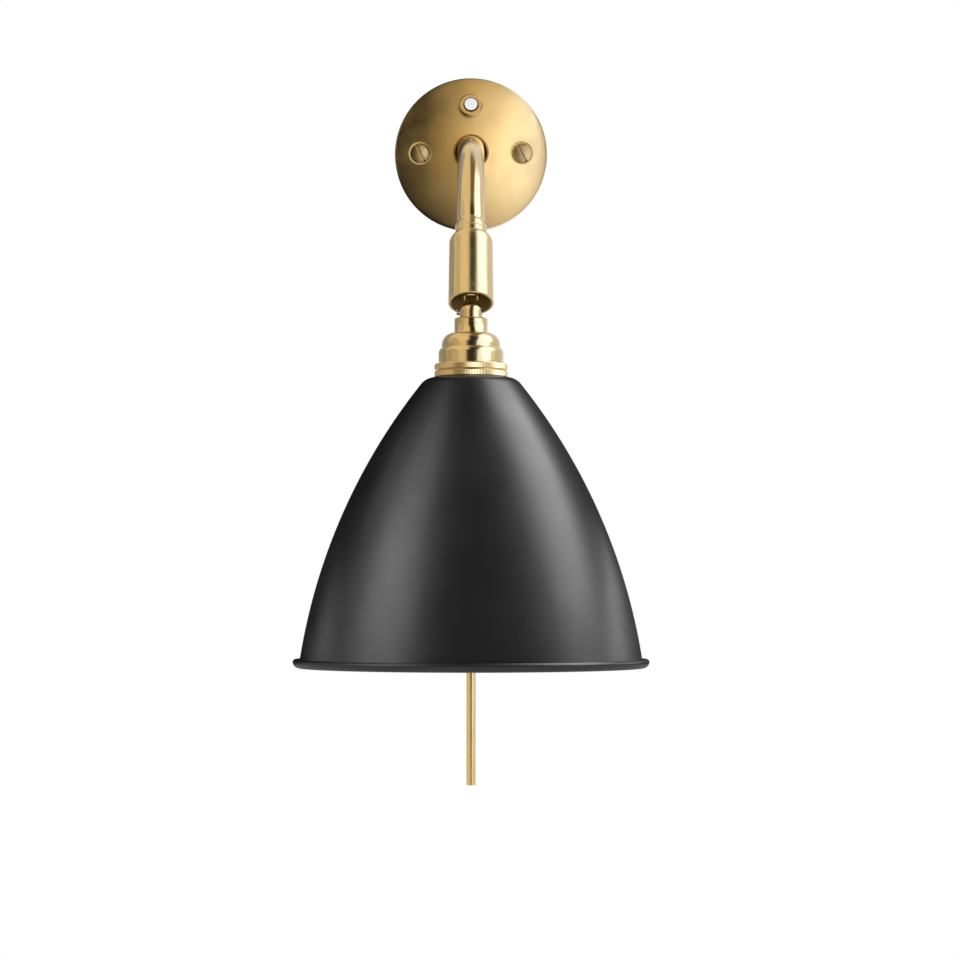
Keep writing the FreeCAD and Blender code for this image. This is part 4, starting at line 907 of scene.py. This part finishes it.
# %% Knurl tree
knurl_tree, start, end = node_tree("knurl", [
    ("Teeth", "NodeSocketInt", 146), ("Radius", "NodeSocketFloat", 0.0166),
    ("Height", "NodeSocketFloat", 0.0025), ("Depth", "NodeSocketFloat", 0.0002),
    ("Flatness", "NodeSocketFloat", 2.0), ("Finish", "NodeSocketMaterial", None)])
rim_line = add(knurl_tree, "GeometryNodeMeshCircle")
bar = add(knurl_tree, "GeometryNodeMeshCylinder")
bar.inputs["Vertices"].default_value = 4
stand = add(knurl_tree, "GeometryNodeInstanceOnPoints")
where = add(knurl_tree, "GeometryNodeInputPosition")
outwards = add(knurl_tree, "FunctionNodeAlignEulerToVector", axis="X")
widen = add(knurl_tree, "ShaderNodeMath", operation="MULTIPLY")
shrink = add(knurl_tree, "ShaderNodeMath", operation="DIVIDE")
shrink.inputs[0].default_value = 1.0
scale = add(knurl_tree, "ShaderNodeCombineXYZ")
scale.inputs["Y"].default_value = 1.0
scale.inputs["Z"].default_value = 1.0
real = add(knurl_tree, "GeometryNodeRealizeInstances")
finish = add(knurl_tree, "GeometryNodeSetMaterial")
join(knurl_tree,
     (start.outputs["Teeth"], rim_line.inputs["Vertices"]),
     (start.outputs["Radius"], rim_line.inputs["Radius"]),
     (start.outputs["Depth"], widen.inputs[0]),
     (start.outputs["Flatness"], widen.inputs[1]),
     (widen.outputs[0], bar.inputs["Radius"]),
     (start.outputs["Height"], bar.inputs["Depth"]),
     (start.outputs["Flatness"], shrink.inputs[1]),
     (shrink.outputs[0], scale.inputs["X"]),
     (scale.outputs[0], stand.inputs["Scale"]),
     (rim_line.outputs["Mesh"], stand.inputs["Points"]),
     (bar.outputs["Mesh"], stand.inputs["Instance"]),
     (where.outputs["Position"], outwards.inputs["Vector"]),
     (outwards.outputs["Rotation"], stand.inputs["Rotation"]),
     (stand.outputs["Instances"], real.inputs["Geometry"]),
     (real.outputs["Geometry"], finish.inputs["Geometry"]),
     (start.outputs["Finish"], finish.inputs["Material"]),
     (finish.outputs["Geometry"], end.inputs["Geometry"]))

# %% Shade rings
ring_radius = 16.9
ring_bore = 14.05
ring_height = 3.25
ring_top = -24.1
ring_play = 0.02
ring_bevel = 0.5
bevel_cut = 0.08
bevel_drop = 0.05
knurl_depth = 0.18
knurl_teeth = 146
knurl_flatness = 2.6
ring_segments = 160

for number, label in enumerate(("upper", "lower")):
    top = ring_top - number * ring_height - ring_play
    foot = ring_top - (number + 1) * ring_height + ring_play
    root = ring_radius - knurl_depth
    band = turned_piece(f"{label}_ring_band", [
        (ring_bore, top), (root - ring_bevel, top),
        (root - bevel_cut, top - ring_bevel + bevel_cut), (root, top - ring_bevel - bevel_drop),
        (root, foot + ring_bevel + bevel_drop), (root - bevel_cut, foot + ring_bevel - bevel_cut),
        (root - ring_bevel, foot), (ring_bore, foot),
    ], lamp_axis, (ring_brass,), lambda point: 0, ring_segments)
    middle = Matrix.Translation((0, 0, (top + foot) / 2 * MM))
    teeth = plain_mesh(f"{label}_ring_knurl", knurl_tree, {
        "Teeth": knurl_teeth, "Radius": root * MM, "Depth": knurl_depth * MM,
        "Height": (ring_height - 2 * ring_bevel) * MM, "Flatness": knurl_flatness,
        "Finish": ring_brass}, lamp_axis @ middle)
    for piece in (band, teeth):
        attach(piece, "lamp_head")
        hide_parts(f"{label}_shade_ring")
        for group in (for_metal, for_all_metal, for_rings):
            group.objects.link(piece)

# %% [markdown]
# ## Threads
#
# The solids have plain cylinders where the real lamp has threads. A thread is one ridge wound
# round a cylinder, so a second tree draws a spiral and sweeps a small three-sided section along
# it. The same tree serves the lampholder's sleeve, the arm's root and the two screws that reach
# into the wall box.

# %% Thread tree
thread_tree, start, end = node_tree("thread", [
    ("Radius", "NodeSocketFloat", 0.014), ("Length", "NodeSocketFloat", 0.02),
    ("Turns", "NodeSocketFloat", 10.0), ("Depth", "NodeSocketFloat", 0.0004),
    ("Sides", "NodeSocketInt", 3), ("Steps", "NodeSocketInt", 48),
    ("Finish", "NodeSocketMaterial", None)])
spiral = add(thread_tree, "GeometryNodeCurveSpiral")
ridge = add(thread_tree, "GeometryNodeCurvePrimitiveCircle")
sweep = add(thread_tree, "GeometryNodeCurveToMesh")
sweep.inputs["Fill Caps"].default_value = True
real = add(thread_tree, "GeometryNodeRealizeInstances")
finish = add(thread_tree, "GeometryNodeSetMaterial")
join(thread_tree,
     (start.outputs["Steps"], spiral.inputs["Resolution"]),
     (start.outputs["Turns"], spiral.inputs["Rotations"]),
     (start.outputs["Radius"], spiral.inputs["Start Radius"]),
     (start.outputs["Radius"], spiral.inputs["End Radius"]),
     (start.outputs["Length"], spiral.inputs["Height"]),
     (start.outputs["Sides"], ridge.inputs["Resolution"]),
     (start.outputs["Depth"], ridge.inputs["Radius"]),
     (spiral.outputs["Curve"], sweep.inputs["Curve"]),
     (ridge.outputs["Curve"], sweep.inputs["Profile Curve"]),
     (sweep.outputs["Mesh"], real.inputs["Geometry"]),
     (real.outputs["Geometry"], finish.inputs["Geometry"]),
     (start.outputs["Finish"], finish.inputs["Material"]),
     (finish.outputs["Geometry"], end.inputs["Geometry"]))

# %% Threads of the sleeve, the arm's root and the screws
thread_edge = math.radians(40)
half_screw_spacing = 25.4


def thread(name, axis, radius, low, high, pitch, depth, material, body):
    """A thread on a cylinder about the Z axis of a matrix, between two heights, in mm. The
    spiral runs a little inside the surface, so that its ridge is rooted in the cylinder."""
    piece = plain_mesh(name, thread_tree, {
        "Radius": (radius - depth / 4) * MM, "Length": (high - low) * MM,
        "Turns": (high - low) / pitch, "Depth": depth * MM, "Finish": material},
        axis @ Matrix.Translation((0, 0, low * MM)))
    piece.data.shade_smooth()
    piece.data.set_sharp_from_angle(angle=thread_edge)
    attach(piece, body)
    for_all_metal.objects.link(piece)


thread("sleeve_thread", lamp_axis, radius=14.0, low=-48.4, high=-35.4, pitch=1.0, depth=0.42,
       material=lamp_brass, body="lamp_head")
thread("root_thread", wall_axis, radius=4.9, low=-8.6, high=-6.2, pitch=0.75, depth=0.3,
       material=plain_brass, body="wall_arm")
for side, label in ((-1, "left"), (1, "right")):
    stud = wall_axis @ Matrix.Translation((side * half_screw_spacing * MM, 0, 0))
    thread(f"{label}_screw_thread", stud, radius=2.0, low=-14.4, high=-0.6, pitch=0.7,
           depth=0.26, material=plain_brass, body="wall_arm")
